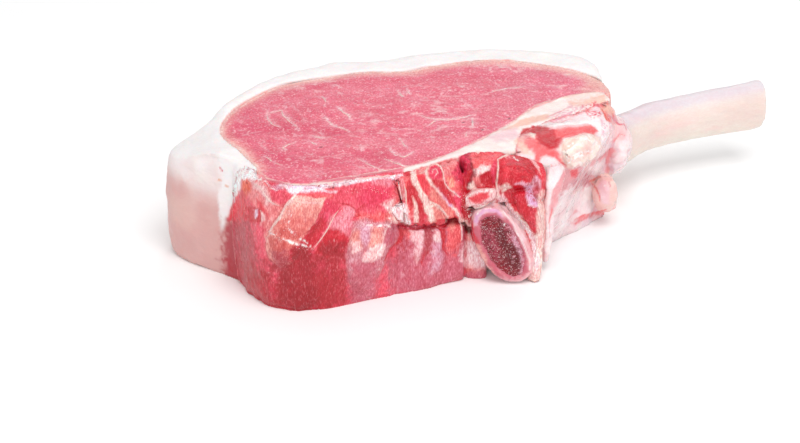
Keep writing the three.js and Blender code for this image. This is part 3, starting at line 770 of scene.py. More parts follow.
# %% Veins on the cut face
# each vein has a name, a width, a brightness and the photo pixels that it runs through
VEINS = [
    ("loop top", 0.9, 0.8, [(267.5, 114), (274, 112.5), (281.5, 111), (283.5, 116.5), (289.5, 121.5),
        (295.5, 125), (298.5, 131)]),
    ("loop left", 0.9, 0.7, [(267.5, 114), (267.5, 119), (272.5, 124.5), (280.5, 128)]),
    ("faint diagonal", 0.8, 0.35, [(285, 101), (291, 105.5), (296, 110), (302, 114.5)]),
    ("short slash", 0.7, 0.6, [(322, 96.5), (325, 100), (327, 104)]),
    ("bright slash", 1, 0.9, [(336.5, 108), (342.5, 112), (347.5, 115), (351.5, 120.5)]),
    ("long slash", 0.8, 0.9, [(324, 116.5), (328.5, 122), (332.5, 125), (340.5, 128), (350.5, 133)]),
    ("dash", 1.1, 0.8, [(311, 136.5), (317, 137.5), (323.5, 139.5)]),
    ("dash 2", 0.8, 0.6, [(309, 142), (313.5, 144), (317.5, 146)]),
    ("vee", 0.8, 0.5, [(296, 143), (288, 145), (283, 148), (287, 152.5)]),
    ("low left", 0.8, 0.4, [(257, 140), (262, 145), (267.5, 150.5)]),
    ("low left 2", 0.8, 0.5, [(264.5, 155.5), (272.5, 161.5), (283, 166)]),
    ("right slash", 0.9, 0.6, [(396.5, 90.5), (400.5, 94), (404.5, 98)]),
    ("curl", 0.9, 0.7, [(389, 150.5), (395.5, 155), (403, 157.5), (410, 154.5), (415, 151.5)]),
    ("long pale", 1.1, 0.5, [(357.5, 158.5), (369, 165), (382.5, 170.5), (398, 173.5), (419, 171.5)]),
    ("long pale 2", 1, 0.5, [(383.5, 158.5), (393, 162), (402, 166), (419, 166)]),
    ("fine 1", 0.6, 0.4, [(306.5, 167.5), (314.5, 172.5), (319.5, 178.5)]),
    ("fine 2", 0.6, 0.4, [(315.5, 168.5), (323.5, 173.5), (330, 178)]),
    ("fine 3", 0.6, 0.4, [(305, 173.5), (311.5, 177), (315.5, 181)]),
    ("middle", 0.7, 0.35, [(364, 124.5), (368, 126), (373, 127)]),
    ("middle 2", 0.7, 0.4, [(336.5, 157), (344.5, 155), (353.5, 155.5)]),
    ("middle 3", 0.7, 0.35, [(305, 153), (310.5, 156.5), (314.5, 159.5)]),
    ("upper", 0.7, 0.35, [(360, 101.5), (365.5, 104.5), (372, 107.5), (379.5, 105.5), (391.5, 105.5)]),
    ("seam curve", 0.8, 0.4, [(298.5, 158.5), (306.5, 162), (314.5, 163), (323.5, 166)]),
    ("long vein", 1, 0.7, [(421, 115.5), (428, 118), (436.5, 120), (446.5, 120), (456, 119.5), (466, 117.5),
        (474.5, 114.5)]),
    ("branch", 1, 0.45, [(436.5, 120.5), (430, 124.5), (425, 127)]),
    ("fleck band", 1.6, 0.45, [(488.5, 93.5), (497, 90.5), (506.5, 88.5), (516.5, 88), (526, 87)]),
    ("mark", 0.9, 0.8, [(472, 118), (473, 122.5), (472, 129.5)]),
    ("mark 2", 0.9, 0.6, [(467.5, 133.5), (465, 137.5)]),
    ("mark 3", 0.9, 0.6, [(489, 69.5), (492, 72.5)]),
    ("hook", 0.8, 0.6, [(497, 64), (498, 66), (504, 67)]),
    ("big mark", 1.4, 0.7, [(564, 75.5), (572, 74)]),
    ("left line", 0.9, 0.5, [(400, 94.5), (404, 98)]),
    ("left line 2", 0.8, 0.5, [(406.5, 91), (411, 95.5)]),
    ("faint 8", 0.7, 0.4, [(578, 86.5), (585, 88.5), (592, 88)]),
    ("low curve", 0.9, 0.5, [(400, 139), (404, 145), (408.5, 150.5)]),
]
DARK_SPECKS = [(463.5, 124), (473, 123.5), (509, 119), (482.5, 130.5), (321, 148.5)]
print(len(VEINS), "veins and", len(DARK_SPECKS), "dark specks")

# %% The cut face
# in millimetres: how far the eye grows into the fat round it, and where it begins and ends in x and y
EYE_GROWTH = 0.75
EYE_LOW = (-48, -26)
EYE_HIGH = (56, 42)
FLECK_HEIGHT = 0.06
VEIN_HEIGHT = 0.08
# for a vein and for the haze round it: millimetres for each step of its width, and how well it covers
VEIN_WIDTH = 0.52
HAZE_WIDTH = 2.6
VEIN_COVER = 0.9
HAZE_COVER = 0.14


def stretch_of(at, low, high, axis=0):
    """How far each point is from low to high along an axis, from 0 to 1."""
    return ramp(at[:, axis], low, high)


def cut_relief(coat, side):
    """Low knife waves and the fine tooth of cut fibres on a level face."""
    at = coat.at * np.array([1, 1, 0.2])
    waves = rough(at, 14, 3) * 0.16 + rough(at, 4.5, 5) * 0.1
    tooth = rough(at, 1.1, 8, 2, (1.5, 1, 1)) * 0.06
    coat.push((waves + tooth) * side)


def flecks_on(coat, side, seed, count, lean):
    """Short seeded strokes of fat in a level face, all leaning roughly one way."""
    draw = np.random.default_rng(seed)
    flat = coat.at[:, :2]
    for _ in range(count):
        start = draw.uniform(EYE_LOW, EYE_HIGH)
        angle = math.radians(lean + draw.normal(0, 22))
        length = draw.uniform(0.8, 3.4)
        run = np.array([math.cos(angle), math.sin(angle)]) * length
        bend = np.array([-run[1], run[0]]) * draw.uniform(-0.22, 0.22)
        path = [start, start + run / 2 + bend, start + run]
        mask = line_mask(path, flat, draw.uniform(0.26, 0.46)) * side
        strength = draw.uniform(0.15, 0.5)
        coat.lay("vein", mask * strength)
        coat.at[:, 2] += mask * FLECK_HEIGHT * np.sign(coat.out[:, 2])


def make_eye():
    """The eye of the loin: rosy meat with veins and flecks of fat, grown into the fat round it."""
    piece = fine_copy(["loin_eye"], "eye_of_loin", voxel=0.5, smoothing=3)
    coat = Coat(piece, "rose", wet=0.35)
    # no gap may show between the eye and the fat
    side = 1 - coat.upward - coat.downward
    coat.at = coat.at + coat.out * [EYE_GROWTH, EYE_GROWTH, 0] * side[:, None]
    coat.look()
    at = coat.at
    flat = at[:, :2]
    # broad bands of darker and paler meat, drawn out along the muscle
    band = rough(at, 9, 11, 2, (2.6, 1, 1))
    coat.lay("dark rose", ramp(band, 0.1, 0.9) * 0.6)
    coat.lay("pale rose", ramp(-band, 0.0, 0.9) * 0.55)
    coat.lay("mauve rose", stretch_of(at, 5, 45) * 0.5)
    coat.lay("dark rose", (1 - stretch_of(at, -45, -15)) * 0.3)
    soft = rough(at, 2.2, 14, 2, (1.8, 1, 1))
    coat.lay("dark rose", ramp(soft, 0.2, 0.9) * 0.35)
    coat.lay("pale rose", ramp(-soft, 0.2, 0.9) * 0.35)
    fine = rough(at, 0.9, 27, 2, (1.9, 1.3, 1))
    drift = 0.15 + 0.85 * ramp(rough(at, 6, 28, 2, (2.2, 1, 1)), -0.1, 0.8)
    coat.lay("pink haze", ramp(fine, 0.15, 0.85) * 0.9 * drift)
    coat.lay("dark rose", ramp(-fine, 0.15, 0.9) * 0.6 * drift)
    cut_relief(coat, coat.upward + coat.downward)
    moved = flat + np.stack([rough(at, 2.0, 21) * 0.3, rough(at, 2.0, 22) * 0.3], 1)
    broken = np.clip(0.75 + 0.5 * rough(at, 1.3, 23), 0.2, 1)
    for _, width, bright, pixels in VEINS:
        path = on_cut(pixels)
        mask = line_mask(path, moved, width * VEIN_WIDTH) * coat.upward * broken
        haze = line_mask(path, moved, width * HAZE_WIDTH) * coat.upward
        coat.lay("vein", mask * bright * VEIN_COVER + haze * bright * HAZE_COVER)
        coat.push(mask * VEIN_HEIGHT)
    flecks_on(coat, coat.upward, seed=31, count=340, lean=-52)
    flecks_on(coat, coat.downward, seed=32, count=120, lean=-40)
    # the rim warms towards the fat
    rim = coat.near("fat_cap", 4.2)
    ragged = rough(at, 1.2, 17, 3) * 0.4
    far_side = stretch_of(at, -4, 20, 1)
    coat.lay("cream pink", coat.near("fat_cap", 6.0) * far_side * 0.7)
    coat.lay("rim peach", np.clip(rim + ragged * rim, 0, 1) * 0.75)
    coat.lay("cream pink", ramp(coat.near("fat_cap", 2.0) + ragged * 0.6, 0.35, 1.0) * 0.8)
    seam = coat.near("seam_fat", 1.2)
    coat.lay("cream pink", ramp(seam + ragged * 0.4, 0.4, 1.0) * 0.7)
    tip = ramp(coat.pixel[:, 0] + 5 * rough(at, 2, 25), 572, 602)
    coat.lay("peach pink", tip * 0.8)
    coat.lay("rim peach", (1 - coat.upward) * coat.shown * 0.6)
    for across, down in DARK_SPECKS:
        spot = on_cut([(across, down)])[0]
        far = np.linalg.norm(flat - spot, axis=1)
        coat.lay("dark speck", (1 - ramp(far, 0.2, 0.5)) * coat.upward)
    coat.crown("fat_cap")
    coat.crown("seam_fat")
    return coat.finish(LEAN, "lean", "loin_eye")


eye = make_eye()

# %% [markdown]
# ## Patches and lines of paint
#
# Where the loin was cut from the backbone the colours change within a few millimetres, so they are
# painted patch by patch. A patch has a name, an ink, the softness of its border in pixels, its lift in
# millimetres and its outline in photo pixels. A line has its width in place of the softness. Where
# two skins meet, both are painted with the same patches, so that a patch may cross the border.

# %% Patches at the left of the near wall
# make_wall also smooths the wall under this one
CORNER_FAT = ("fat over the corner", "fat", 2, 0, [(226, 150), (258, 158), (263, 178), (254, 180),
    (247, 178), (241, 180), (239, 190), (230, 210), (222, 232), (218, 200)])
LEFT_PATCHES = [
    CORNER_FAT,
    ("lean wedge", "red", 1.5, 0, [(240, 189), (247, 189), (247, 222), (226, 222), (231, 206)]),
    # painted shade at the foot of the wall, below the lean wedge
    ("wedge foot", "dull red", 6, 0, [(226, 220), (250, 220), (258, 262), (256, 310), (222, 310),
        (223, 240)]),
    ("pale corner", "salmon pink", 2, 0, [(247, 180), (262, 179), (272, 190), (293, 196), (285, 207),
        (276, 222), (269, 232), (262, 224), (254, 206), (247, 192)]),
    ("corner haze", "pale pink", 4, 0, [(249, 181), (258, 181), (268, 192), (276, 202), (268, 204),
        (258, 192)]),
    ("rose triangle", "rosy red", 1.5, 0, [(269, 189), (282, 192), (293, 195), (289, 201), (281, 205),
        (271, 200)]),
    ("orange edge", "orange red", 2, 0, [(240, 176), (248, 178), (251, 188), (247, 196), (241, 190)]),
    ("red behind the corner", "red", 2, 0, [(256, 198), (262, 203), (269, 213), (264, 224), (259, 210)]),
    ("blood in the corner", "crimson", 1.2, -0.15, [(247, 207), (254, 206), (262, 210), (262, 221),
        (253, 223), (246, 219)]),
    ("white mark", "pale lilac", 1, 0.1, [(254, 210), (258, 209), (258, 216), (254, 219)]),
    ("white mark 2", "pale pink", 1, 0.1, [(261, 211), (266, 214), (266, 220), (262, 222)]),
    ("red above the flap", "coral red", 1.2, 0, [(294, 193), (318, 194), (334, 195), (333, 199), (312, 198),
        (298, 196)]),
    ("sinew flap", "peach pink", 1, 0.15, [(293, 195), (313, 199), (326, 198), (322, 207), (318, 217),
        (311, 230), (304, 240), (299, 244), (288, 241), (277, 238), (268, 233), (276, 223), (281, 214),
        (286, 206)]),
    ("sinew middle", "sinew", 4, 0, [(284, 208), (324, 204), (317, 222), (309, 234), (300, 246), (266, 236)]),
    ("sinew low", "coral", 3, 0, [(282, 217), (316, 217), (303, 242), (272, 236), (276, 226)]),
    ("sinew foot", "dull coral", 3, 0, [(280, 227), (304, 231), (300, 243), (290, 240), (280, 236)]),
    ("lower flap", "dull coral", 2, 0.1, [(267, 235), (278, 239), (288, 242), (298, 246), (292, 250),
        (289, 262), (274, 262), (270, 247)]),
    # painted shade at the foot of the lower flap
    ("lower flap foot", "dull red", 6, 0, [(270, 252), (292, 250), (289, 275), (272, 275)]),
    ("band", "rose red", 1.5, -0.1, [(324, 200), (333, 202), (342, 207), (336, 219), (328, 229),
        (320, 240), (312, 252), (300, 262), (288, 262), (290, 250), (299, 244), (310, 231), (317, 218),
        (322, 207)]),
    ("band low", "crimson", 4, -0.1, [(322, 218), (330, 222), (318, 242), (311, 254), (290, 270),
        (290, 250), (300, 244), (311, 229)]),
    ("dark foot", "shadow red", 4, -0.1, [(292, 249), (302, 247), (312, 251), (330, 258), (338, 275),
        (320, 320), (270, 320), (276, 276), (288, 262)]),
    ("deep patch", "crimson", 1.8, -0.2, [(329, 229), (338, 228), (346, 232), (350, 240), (347, 249),
        (340, 254), (326, 258), (314, 254), (320, 242), (325, 234)]),
    ("deep patch low", "shadow red", 4, 0, [(322, 243), (348, 243), (344, 262), (318, 262)]),
    # painted shade under the deep patch and at the foot of the left wall
    ("under the deep patch", "dark red", 6, 0, [(312, 258), (344, 254), (350, 300), (318, 320)]),
    ("foot of the left wall", "dark red", 10, 0, [(236, 262), (276, 268), (284, 320), (236, 320)]),
    ("bright meat", "rosy red", 3, 0, [(338, 187), (352, 184), (402, 177), (404, 200), (392, 210),
        (378, 214), (358, 215), (338, 206)]),
    ("deeper bright meat", "rose red", 4, 0, [(362, 187), (384, 185), (396, 188), (394, 198), (382, 206),
        (366, 208), (356, 202)]),
    ("pink above", "pale rose", 3, 0, [(372, 179), (399, 177), (400, 184), (384, 186), (372, 184)]),
    ("pale shoulder of the tab", "pale pink", 3, 0, [(383, 205), (392, 199), (401, 202), (396, 210),
        (388, 211)]),
    ("sparkling dent", "pale rose", 2, -0.15, [(342, 206), (352, 207), (357, 212), (352, 219), (342, 216)]),
    ("coral above the veil", "coral red", 3, 0, [(356, 214), (376, 212), (390, 213), (390, 221),
        (372, 223), (358, 221)]),
    ("veil", "veil pink", 3, 0.15, [(350, 222), (364, 219), (380, 222), (391, 221), (398, 226),
        (399, 235), (393, 245), (384, 256), (378, 275), (350, 275), (346, 255), (350, 240)]),
    ("veil left", "pale rose", 3, 0, [(330, 216), (346, 214), (352, 224), (350, 238), (340, 230),
        (328, 228)]),
    ("veil coral", "sinew", 3, 0, [(351, 231), (360, 231), (361, 248), (354, 252), (349, 244)]),
    ("veil coral 2", "sinew", 3, 0, [(370, 226), (383, 226), (383, 240), (374, 252), (368, 242)]),
    ("veil lilac", "lilac pink", 2.5, 0, [(361, 222), (370, 224), (370, 238), (364, 246), (360, 238)]),
    ("veil white", "pale pink", 2, 0.1, [(350, 242), (358, 242), (360, 250), (352, 252)]),
    ("veil white 2", "pale pink", 2, 0.1, [(374, 246), (386, 244), (382, 256), (372, 262), (362, 262),
        (364, 252)]),
    ("veil flap", "dusky rose", 1.5, 0.1, [(390, 222), (397, 226), (398, 236), (393, 244), (386, 248),
        (383, 241), (385, 231)]),
    ("veil foot", "dusky rose", 5, 0, [(350, 262), (380, 262), (376, 300), (350, 310)]),
    ("lilac corner", "lilac pink", 1.5, 0, [(270, 186), (278, 184), (284, 186), (283, 190), (275, 190)]),
    ("fascia", "fascia white", 1.2, 0.25, [(277, 185), (285, 181.5), (300, 184), (330, 183), (352, 180.5),
        (402, 175), (402, 177.5), (366, 181.5), (350, 184.5), (338, 187), (323, 188), (324, 190.5),
        (338, 191.5), (337, 193.5), (318, 192), (303, 193), (293, 194.5), (287, 192), (284, 187)]),
    ("fascia shade", "pale lilac", 2, 0, [(290, 184), (318, 186), (320, 189), (296, 190), (288, 188)]),
]

SEAM_PATCHES = [
    ("eye over the seam", "rose", 1.2, 0, [(316, 174), (350, 170), (404, 164), (404, 173), (380, 176),
        (364, 178), (340, 181), (316, 182.5)]),
    ("corner without fat", "thin pink", 1.5, 0, [(256, 170), (284, 177), (284, 183), (270, 188),
        (262, 184), (256, 178)]),
    ("rose of the corner", "rose", 2, 0, [(262, 172), (290, 178), (284, 183), (272, 184), (264, 178)]),
]

LEFT_LINES = [
    ("rim of the corner", "white", 1, 0.1, [(262, 178), (267, 184), (271, 188), (278, 190.5)]),
    ("white of the seam", "white", 1.2, 0.2, [(284, 181.5), (300, 183), (330, 182), (352, 180), (378, 177),
        (402, 174.5)]),
    ("corner streak", "pale pink", 1, 0.05, [(252, 182), (261, 189), (267, 198), (272, 203), (281, 207)]),
    ("corner streak 2", "thin pink", 0.8, 0.05, [(262, 196), (266, 206), (267, 215), (272, 224)]),
    ("dark nick", "dark red", 1, -0.2, [(246, 181), (248, 183)]),
    ("flap edge", "seam white", 2.2, 0.2, [(295, 195), (291, 201), (286, 206), (281, 215), (276, 224),
        (269, 231)]),
    ("line on the flap", "pale pink", 0.8, 0.1, [(300, 203), (309, 203.5), (322, 202.5)]),
    ("glossy fold", "glint", 1.8, 0.25, [(270, 232), (279, 236), (287, 240), (294, 243), (303, 246),
        (312, 249)]),
    ("glints on the flap", "glint", 1.4, 0.1, [(286, 222), (289, 229), (295, 235), (302, 240), (308, 244),
        (312, 247)]),
    ("sparkle on the flap", "glint", 0.9, 0, [(293, 213), (290, 219), (284, 227)]),
    ("pale line", "thin pink", 1.2, 0.15, [(341, 206), (334, 216), (328, 228), (321, 239), (312, 251)]),
    ("glint on the patch", "glint", 1.3, 0.1, [(331, 240), (335, 241)]),
    ("crease", "crimson", 1.6, -0.25, [(339, 203), (349, 205), (355, 209), (357, 213)]),
    ("crease foot", "crimson", 1.6, -0.2, [(353, 217), (360, 216), (358, 210), (363, 205)]),
    ("crimson mark", "crimson", 1.4, -0.1, [(354, 188), (353, 195)]),
    ("flesh line", "coral red", 1.4, -0.1, [(324, 189), (333, 190), (340, 188)]),
    ("veil sparkle", "glint", 1.8, 0, [(366, 225), (374, 226), (382, 225), (390, 227)]),
    ("veil sparkle 2", "glint", 1.4, 0, [(388, 218), (393, 220)]),
    ("veil flap edge", "pale pink", 1.2, 0.15, [(391, 222), (385, 230), (383, 240), (381, 248)]),
    ("veil flap border", "blood", 1.4, -0.2, [(399, 226), (400, 234), (397, 242), (390, 250), (384, 261)]),
    ("red nick", "deep red", 1, -0.2, [(219, 167), (222, 172)]),
    ("orange mark", "orange", 1.2, 0, [(218, 180), (221, 181)]),
    ("orange mark 2", "orange", 1.2, 0, [(225, 185), (229, 188)]),
]
print(len(LEFT_PATCHES + SEAM_PATCHES), "patches and", len(LEFT_LINES), "lines")

# %% Patches at the right of the near wall
# the gap between the bright meat and the strands, which make_wall shuts
STRAND_GAP = [(388, 176), (403, 176), (403, 206), (388, 206)]
RIGHT_PATCHES = [
    ("coral gap", "coral red", 1.5, 0, [(394, 182), (401, 180), (402, 192), (401, 206), (396, 206),
        (394, 194)]),
    ("fat tab", "wall white", 1, 0.25, [(400, 202), (406, 205), (409, 215), (411, 223), (409, 225),
        (401, 222), (394, 216), (389, 209), (394, 207)]),
    ("left strand", "coral red", 1.2, 0.1, [(400, 178), (409, 176), (411, 190), (413, 206), (413, 221),
        (409, 218), (407, 205), (402, 200)]),
    ("pink of the left strand", "thin pink", 1.5, 0, [(398, 180), (403, 179), (405, 190), (404, 201),
        (400, 198)]),
    ("first bundle", "crimson", 1, -0.1, [(409, 179), (412, 185), (414, 195), (414, 206), (410, 210),
        (408, 200), (406, 188)]),
    ("pale strip", "cream pink", 1, 0.15, [(413, 196), (416, 203), (419, 213), (420, 223), (414, 222),
        (413, 210)]),
    ("second bundle", "crimson", 1, -0.15, [(412, 184), (418, 192), (422, 203), (427, 214), (431, 220),
        (429, 224), (421, 222), (418, 211), (416, 201), (414, 192)]),
    ("foot of the second bundle", "deep red", 2, 0, [(418, 214), (428, 215), (431, 222), (424, 226),
        (418, 223)]),
    ("cream strand", "cream", 1, 0.25, [(410, 172), (416, 170), (417, 179), (419, 185), (424, 192),
        (429, 199), (433, 206), (433, 214), (434, 220), (431, 223), (427, 215), (423, 205), (418, 193),
        (414, 186), (411, 180)]),
    ("blush of the cream strand", "cream pink", 2.5, 0, [(417, 190), (425, 194), (433, 207), (434, 221),
        (429, 221), (424, 207)]),
    ("red strand", "red", 1, 0.1, [(417, 176), (424, 174), (429, 180), (434, 187), (440, 195), (448, 204),
        (454, 213), (455, 220), (449, 219), (443, 211), (436, 205), (429, 197), (421, 188), (418, 182)]),
    ("coral of the red strand", "coral", 2.5, 0, [(430, 187), (440, 193), (453, 210), (454, 220),
        (446, 214), (436, 203), (430, 197)]),
    ("inner coral", "coral", 1.2, 0.1, [(432, 206), (439, 210), (445, 216), (444, 222), (437, 222),
        (433, 214)]),
    ("blood node", "deep red", 1.5, -0.1, [(436, 220), (444, 218), (450, 219), (447, 226), (441, 230),
        (435, 225)]),
    ("pale edge", "cream pink", 1.2, 0.25, [(424, 171), (427, 170), (428, 177), (434, 181), (440, 188),
        (447, 196), (454, 205), (458, 213), (460, 219), (456, 216), (450, 207), (443, 199), (436, 191),
        (430, 183), (425, 178)]),
    ("lilac of the pale edge", "lilac", 1.5, 0, [(436, 186), (440, 188), (450, 201), (453, 207),
        (449, 206), (441, 195)]),
    ("above the ring", "salmon pink", 2, 0, [(416, 169), (430, 163), (445, 158), (456, 158), (460, 166),
        (457, 182), (448, 182), (444, 172), (436, 164), (427, 166), (424, 172)]),
    ("ring meat", "rose red", 1.2, 0, [(427, 171), (430, 166), (438, 165), (443, 170), (443, 177),
        (437, 180), (430, 178)]),
    ("crimson under the ring", "crimson", 1.2, -0.15, [(432, 179), (441, 180), (447, 189), (453, 196),
        (457, 203), (455, 209), (449, 203), (441, 194), (435, 186)]),
    ("salmon lump", "coral red", 1.5, 0.15, [(445, 176), (453, 176), (459, 184), (461, 194), (455, 193),
        (448, 187)]),
    ("orange of the lump", "salmon", 2, 0, [(447, 178), (452, 179), (455, 186), (450, 187)]),
    ("red behind", "rose red", 2, 0, [(453, 194), (462, 194), (463, 206), (461, 214), (456, 208),
        (454, 201)]),
    ("marrow seam", "rose red", 1.5, 0, [(457, 152), (469, 150), (470, 162), (471, 173), (468, 183),
        (462, 185), (456, 181), (452, 173), (457, 166), (459, 159)]),
    ("marrow cells", "cells", 1.5, -0.1, [(458, 153), (469, 151), (470, 162), (470, 176), (464, 183),
        (456, 180), (453, 173), (458, 166), (460, 159)]),
    ("crimson fall", "crimson", 1.2, -0.1, [(467, 170), (471, 170), (471, 181), (468, 184), (466, 178)]),
    ("salmon patch", "coral red", 1.5, 0, [(471, 152), (503, 152), (498, 158), (492, 165), (484, 168),
        (474, 168), (471, 160)]),
    ("cream above the hollow", "pale pink", 1.8, 0.1, [(474, 170), (482, 166), (491, 165), (491, 170),
        (485, 173), (477, 177)]),
    ("red beside the line", "rose red", 1.8, 0, [(490, 168), (497, 160), (497, 174), (494, 182),
        (490, 184)]),
    ("salmon by the hollow", "salmon pink", 2, 0, [(474, 178), (482, 174), (485, 180), (483, 188),
        (476, 188)]),
    ("hollow", "crimson", 1.5, -0.5, [(481, 175), (488, 171), (493, 177), (491, 187), (484, 188),
        (481, 182)]),
    ("white by the groove", "cream", 1.5, 0.15, [(469, 184), (474, 182), (476, 189), (471, 191),
        (468, 189)]),
    ("facet", "pale pink", 1.2, 0.2, [(464, 206), (466, 199), (472, 193), (483, 191), (495, 190),
        (500, 184), (500, 196), (495, 202), (486, 206), (474, 209), (466, 210)]),
    ("facet centre", "red", 1.6, -0.1, [(469, 198), (476, 193), (488, 192.5), (489, 197), (482, 202),
        (473, 203)]),
    ("crimson patch", "crimson", 1.2, -0.1, [(500, 160), (508, 156), (517, 153), (526, 157), (534, 165),
        (538, 173), (533, 180), (522, 182), (513, 184), (501, 184), (500, 172)]),
    ("orange of the patch", "red", 3, 0, [(500, 163), (507, 159), (510, 172), (507, 183), (501, 183)]),
    ("grain of the patch", "maroon grain", 2, 0, [(517, 155), (527, 158), (536, 168), (534, 178), (522, 181),
        (516, 170)]),
    ("cream dome", "cream", 1.2, 0.15, [(500, 186), (507, 184), (512, 186), (515, 190), (505, 191),
        (502, 193)]),
    ("lower crimson", "crimson", 1.2, -0.15, [(505, 192), (512, 187), (520, 185), (525, 193), (526, 205),
        (531, 210), (527, 216), (519, 214), (511, 203)]),
    ("orange of the crimson", "red", 1.5, 0, [(505, 192), (510, 190), (515, 203), (521, 214), (514, 211),
        (508, 201)]),
    ("grainy red", "deep red", 1.2, -0.1, [(529, 207), (538, 209), (540, 218), (537, 230), (531, 230),
        (528, 219)]),
    ("grain of the red", "maroon grain", 2, 0, [(530, 210), (537, 211), (539, 220), (535, 229), (530, 224)]),
    ("lavender", "lilac pink", 1.2, 0.2, [(514, 184), (521, 181), (530, 182), (536, 175), (540, 180),
        (541, 195), (538, 207), (531, 207), (527, 203), (526, 192), (521, 185)]),
    ("dusk in the lavender", "dusky rose", 2, 0, [(531, 188), (538, 184), (540, 196), (534, 197)]),
    ("violet in the lavender", "lilac", 1.5, 0, [(524, 184), (530, 186), (532, 196), (538, 200), (537, 206),
        (531, 204), (527, 196)]),
    ("red through the lavender", "maroon grain", 2, -0.05, [(516, 183), (526, 183), (536, 178), (541, 190),
        (536, 204), (529, 196), (520, 187)]),
    ("cream band", "cartilage", 1.2, 0.15, [(496, 198), (503, 192), (508, 201), (514, 211), (523, 219),
        (530, 229), (537, 240), (540, 262), (535, 276), (532, 262), (527, 240), (519, 228), (508, 214),
        (499, 206)]),
    ("low stripe", "coral red", 1.2, -0.1, [(520, 228), (526, 230), (530, 240), (533, 252), (530, 259),
        (526, 246), (522, 238)]),
    ("salmon strip", "red", 1, 0, [(534, 154), (541, 163), (544, 178), (544, 188), (542, 204), (541, 226),
        (538, 238), (537, 230), (540, 216), (541, 196), (541, 178), (537, 166)]),
    ("strip low", "cream pink", 2, 0, [(538, 190), (545, 190), (543, 226), (539, 242), (536, 240)]),
    # painted shade under the fat tab, over a groove pushed in
    ("under the tab", "blood", 1.2, -0.3, [(398, 222), (409, 226), (417, 228), (416, 233), (406, 234),
        (401, 242), (397, 244), (399, 234)]),
    ("coral under the tab", "coral red", 2.5, 0, [(405, 230), (416, 230), (415, 238), (406, 240)]),
    ("pale under the crease", "pink haze", 2.5, 0.1, [(410, 230), (424, 229), (427, 241), (418, 245),
        (411, 240)]),
    ("maroon grain", "maroon grain", 2.5, -0.1, [(398, 240), (404, 234), (411, 241), (417, 248), (422, 264),
        (408, 280), (390, 280), (388, 256)]),
    ("purple of the low meat", "dusky rose", 8, 0, [(386, 262), (414, 250), (416, 290), (388, 292)]),
    ("pale fold", "pink haze", 3, 0.15, [(417, 232), (424, 230), (425, 240), (422, 252), (416, 262),
        (414, 250), (416, 242)]),
    ("red fold", "dull red", 2.5, -0.2, [(424, 227), (433, 227), (435, 240), (430, 254), (422, 262),
        (424, 246)]),
    ("lilac lobe", "lilac pink", 2.5, 0.15, [(435, 228), (440, 230), (442, 240), (444, 256), (440, 270),
        (430, 274), (430, 258), (435, 244)]),
    ("white of the lilac lobe", "pale pink", 2, 0.1, [(434, 230), (439, 232), (440, 242), (435, 242)]),
    # the crease between the lobes: its own dark red and painted shade, over a groove pushed in
    ("dark between the lobes", "blood", 1.2, -0.3, [(439, 228), (446, 228), (446, 240), (447, 256),
        (443, 250), (441, 238)]),
    ("salmon lobe", "coral red", 1.5, 0.15, [(447, 229), (450, 222), (456, 217), (460, 221), (462, 230),
        (461, 242), (458, 254), (452, 270), (447, 262), (446, 246)]),
    ("shine on the lobe", "sinew", 2, 0, [(448, 226), (453, 221), (456, 226), (451, 232)]),
    ("foot of the lobe", "dusky rose", 8, 0, [(444, 252), (460, 252), (460, 290), (440, 290)]),
    ("dark by the neck", "dark red", 1.2, -0.25, [(461, 208), (472, 206), (474, 214), (471, 224),
        (474, 240), (468, 236), (463, 226)]),
    ("loop of the neck", "cream pink", 1.2, 0.1, [(461, 218), (467, 220), (472, 228), (471, 238),
        (468, 236), (466, 226), (461, 224)]),
    ("pale neck", "cartilage", 4, 0, [(472, 239), (480, 245), (486, 251), (490, 271), (476, 269),
        (462, 264), (460, 250)]),
    # painted shade under the pale neck, where the meat overhangs
    ("red foot", "dusky rose", 5, 0, [(456, 286), (462, 272), (472, 269), (488, 271), (496, 282),
        (472, 288)]),
]

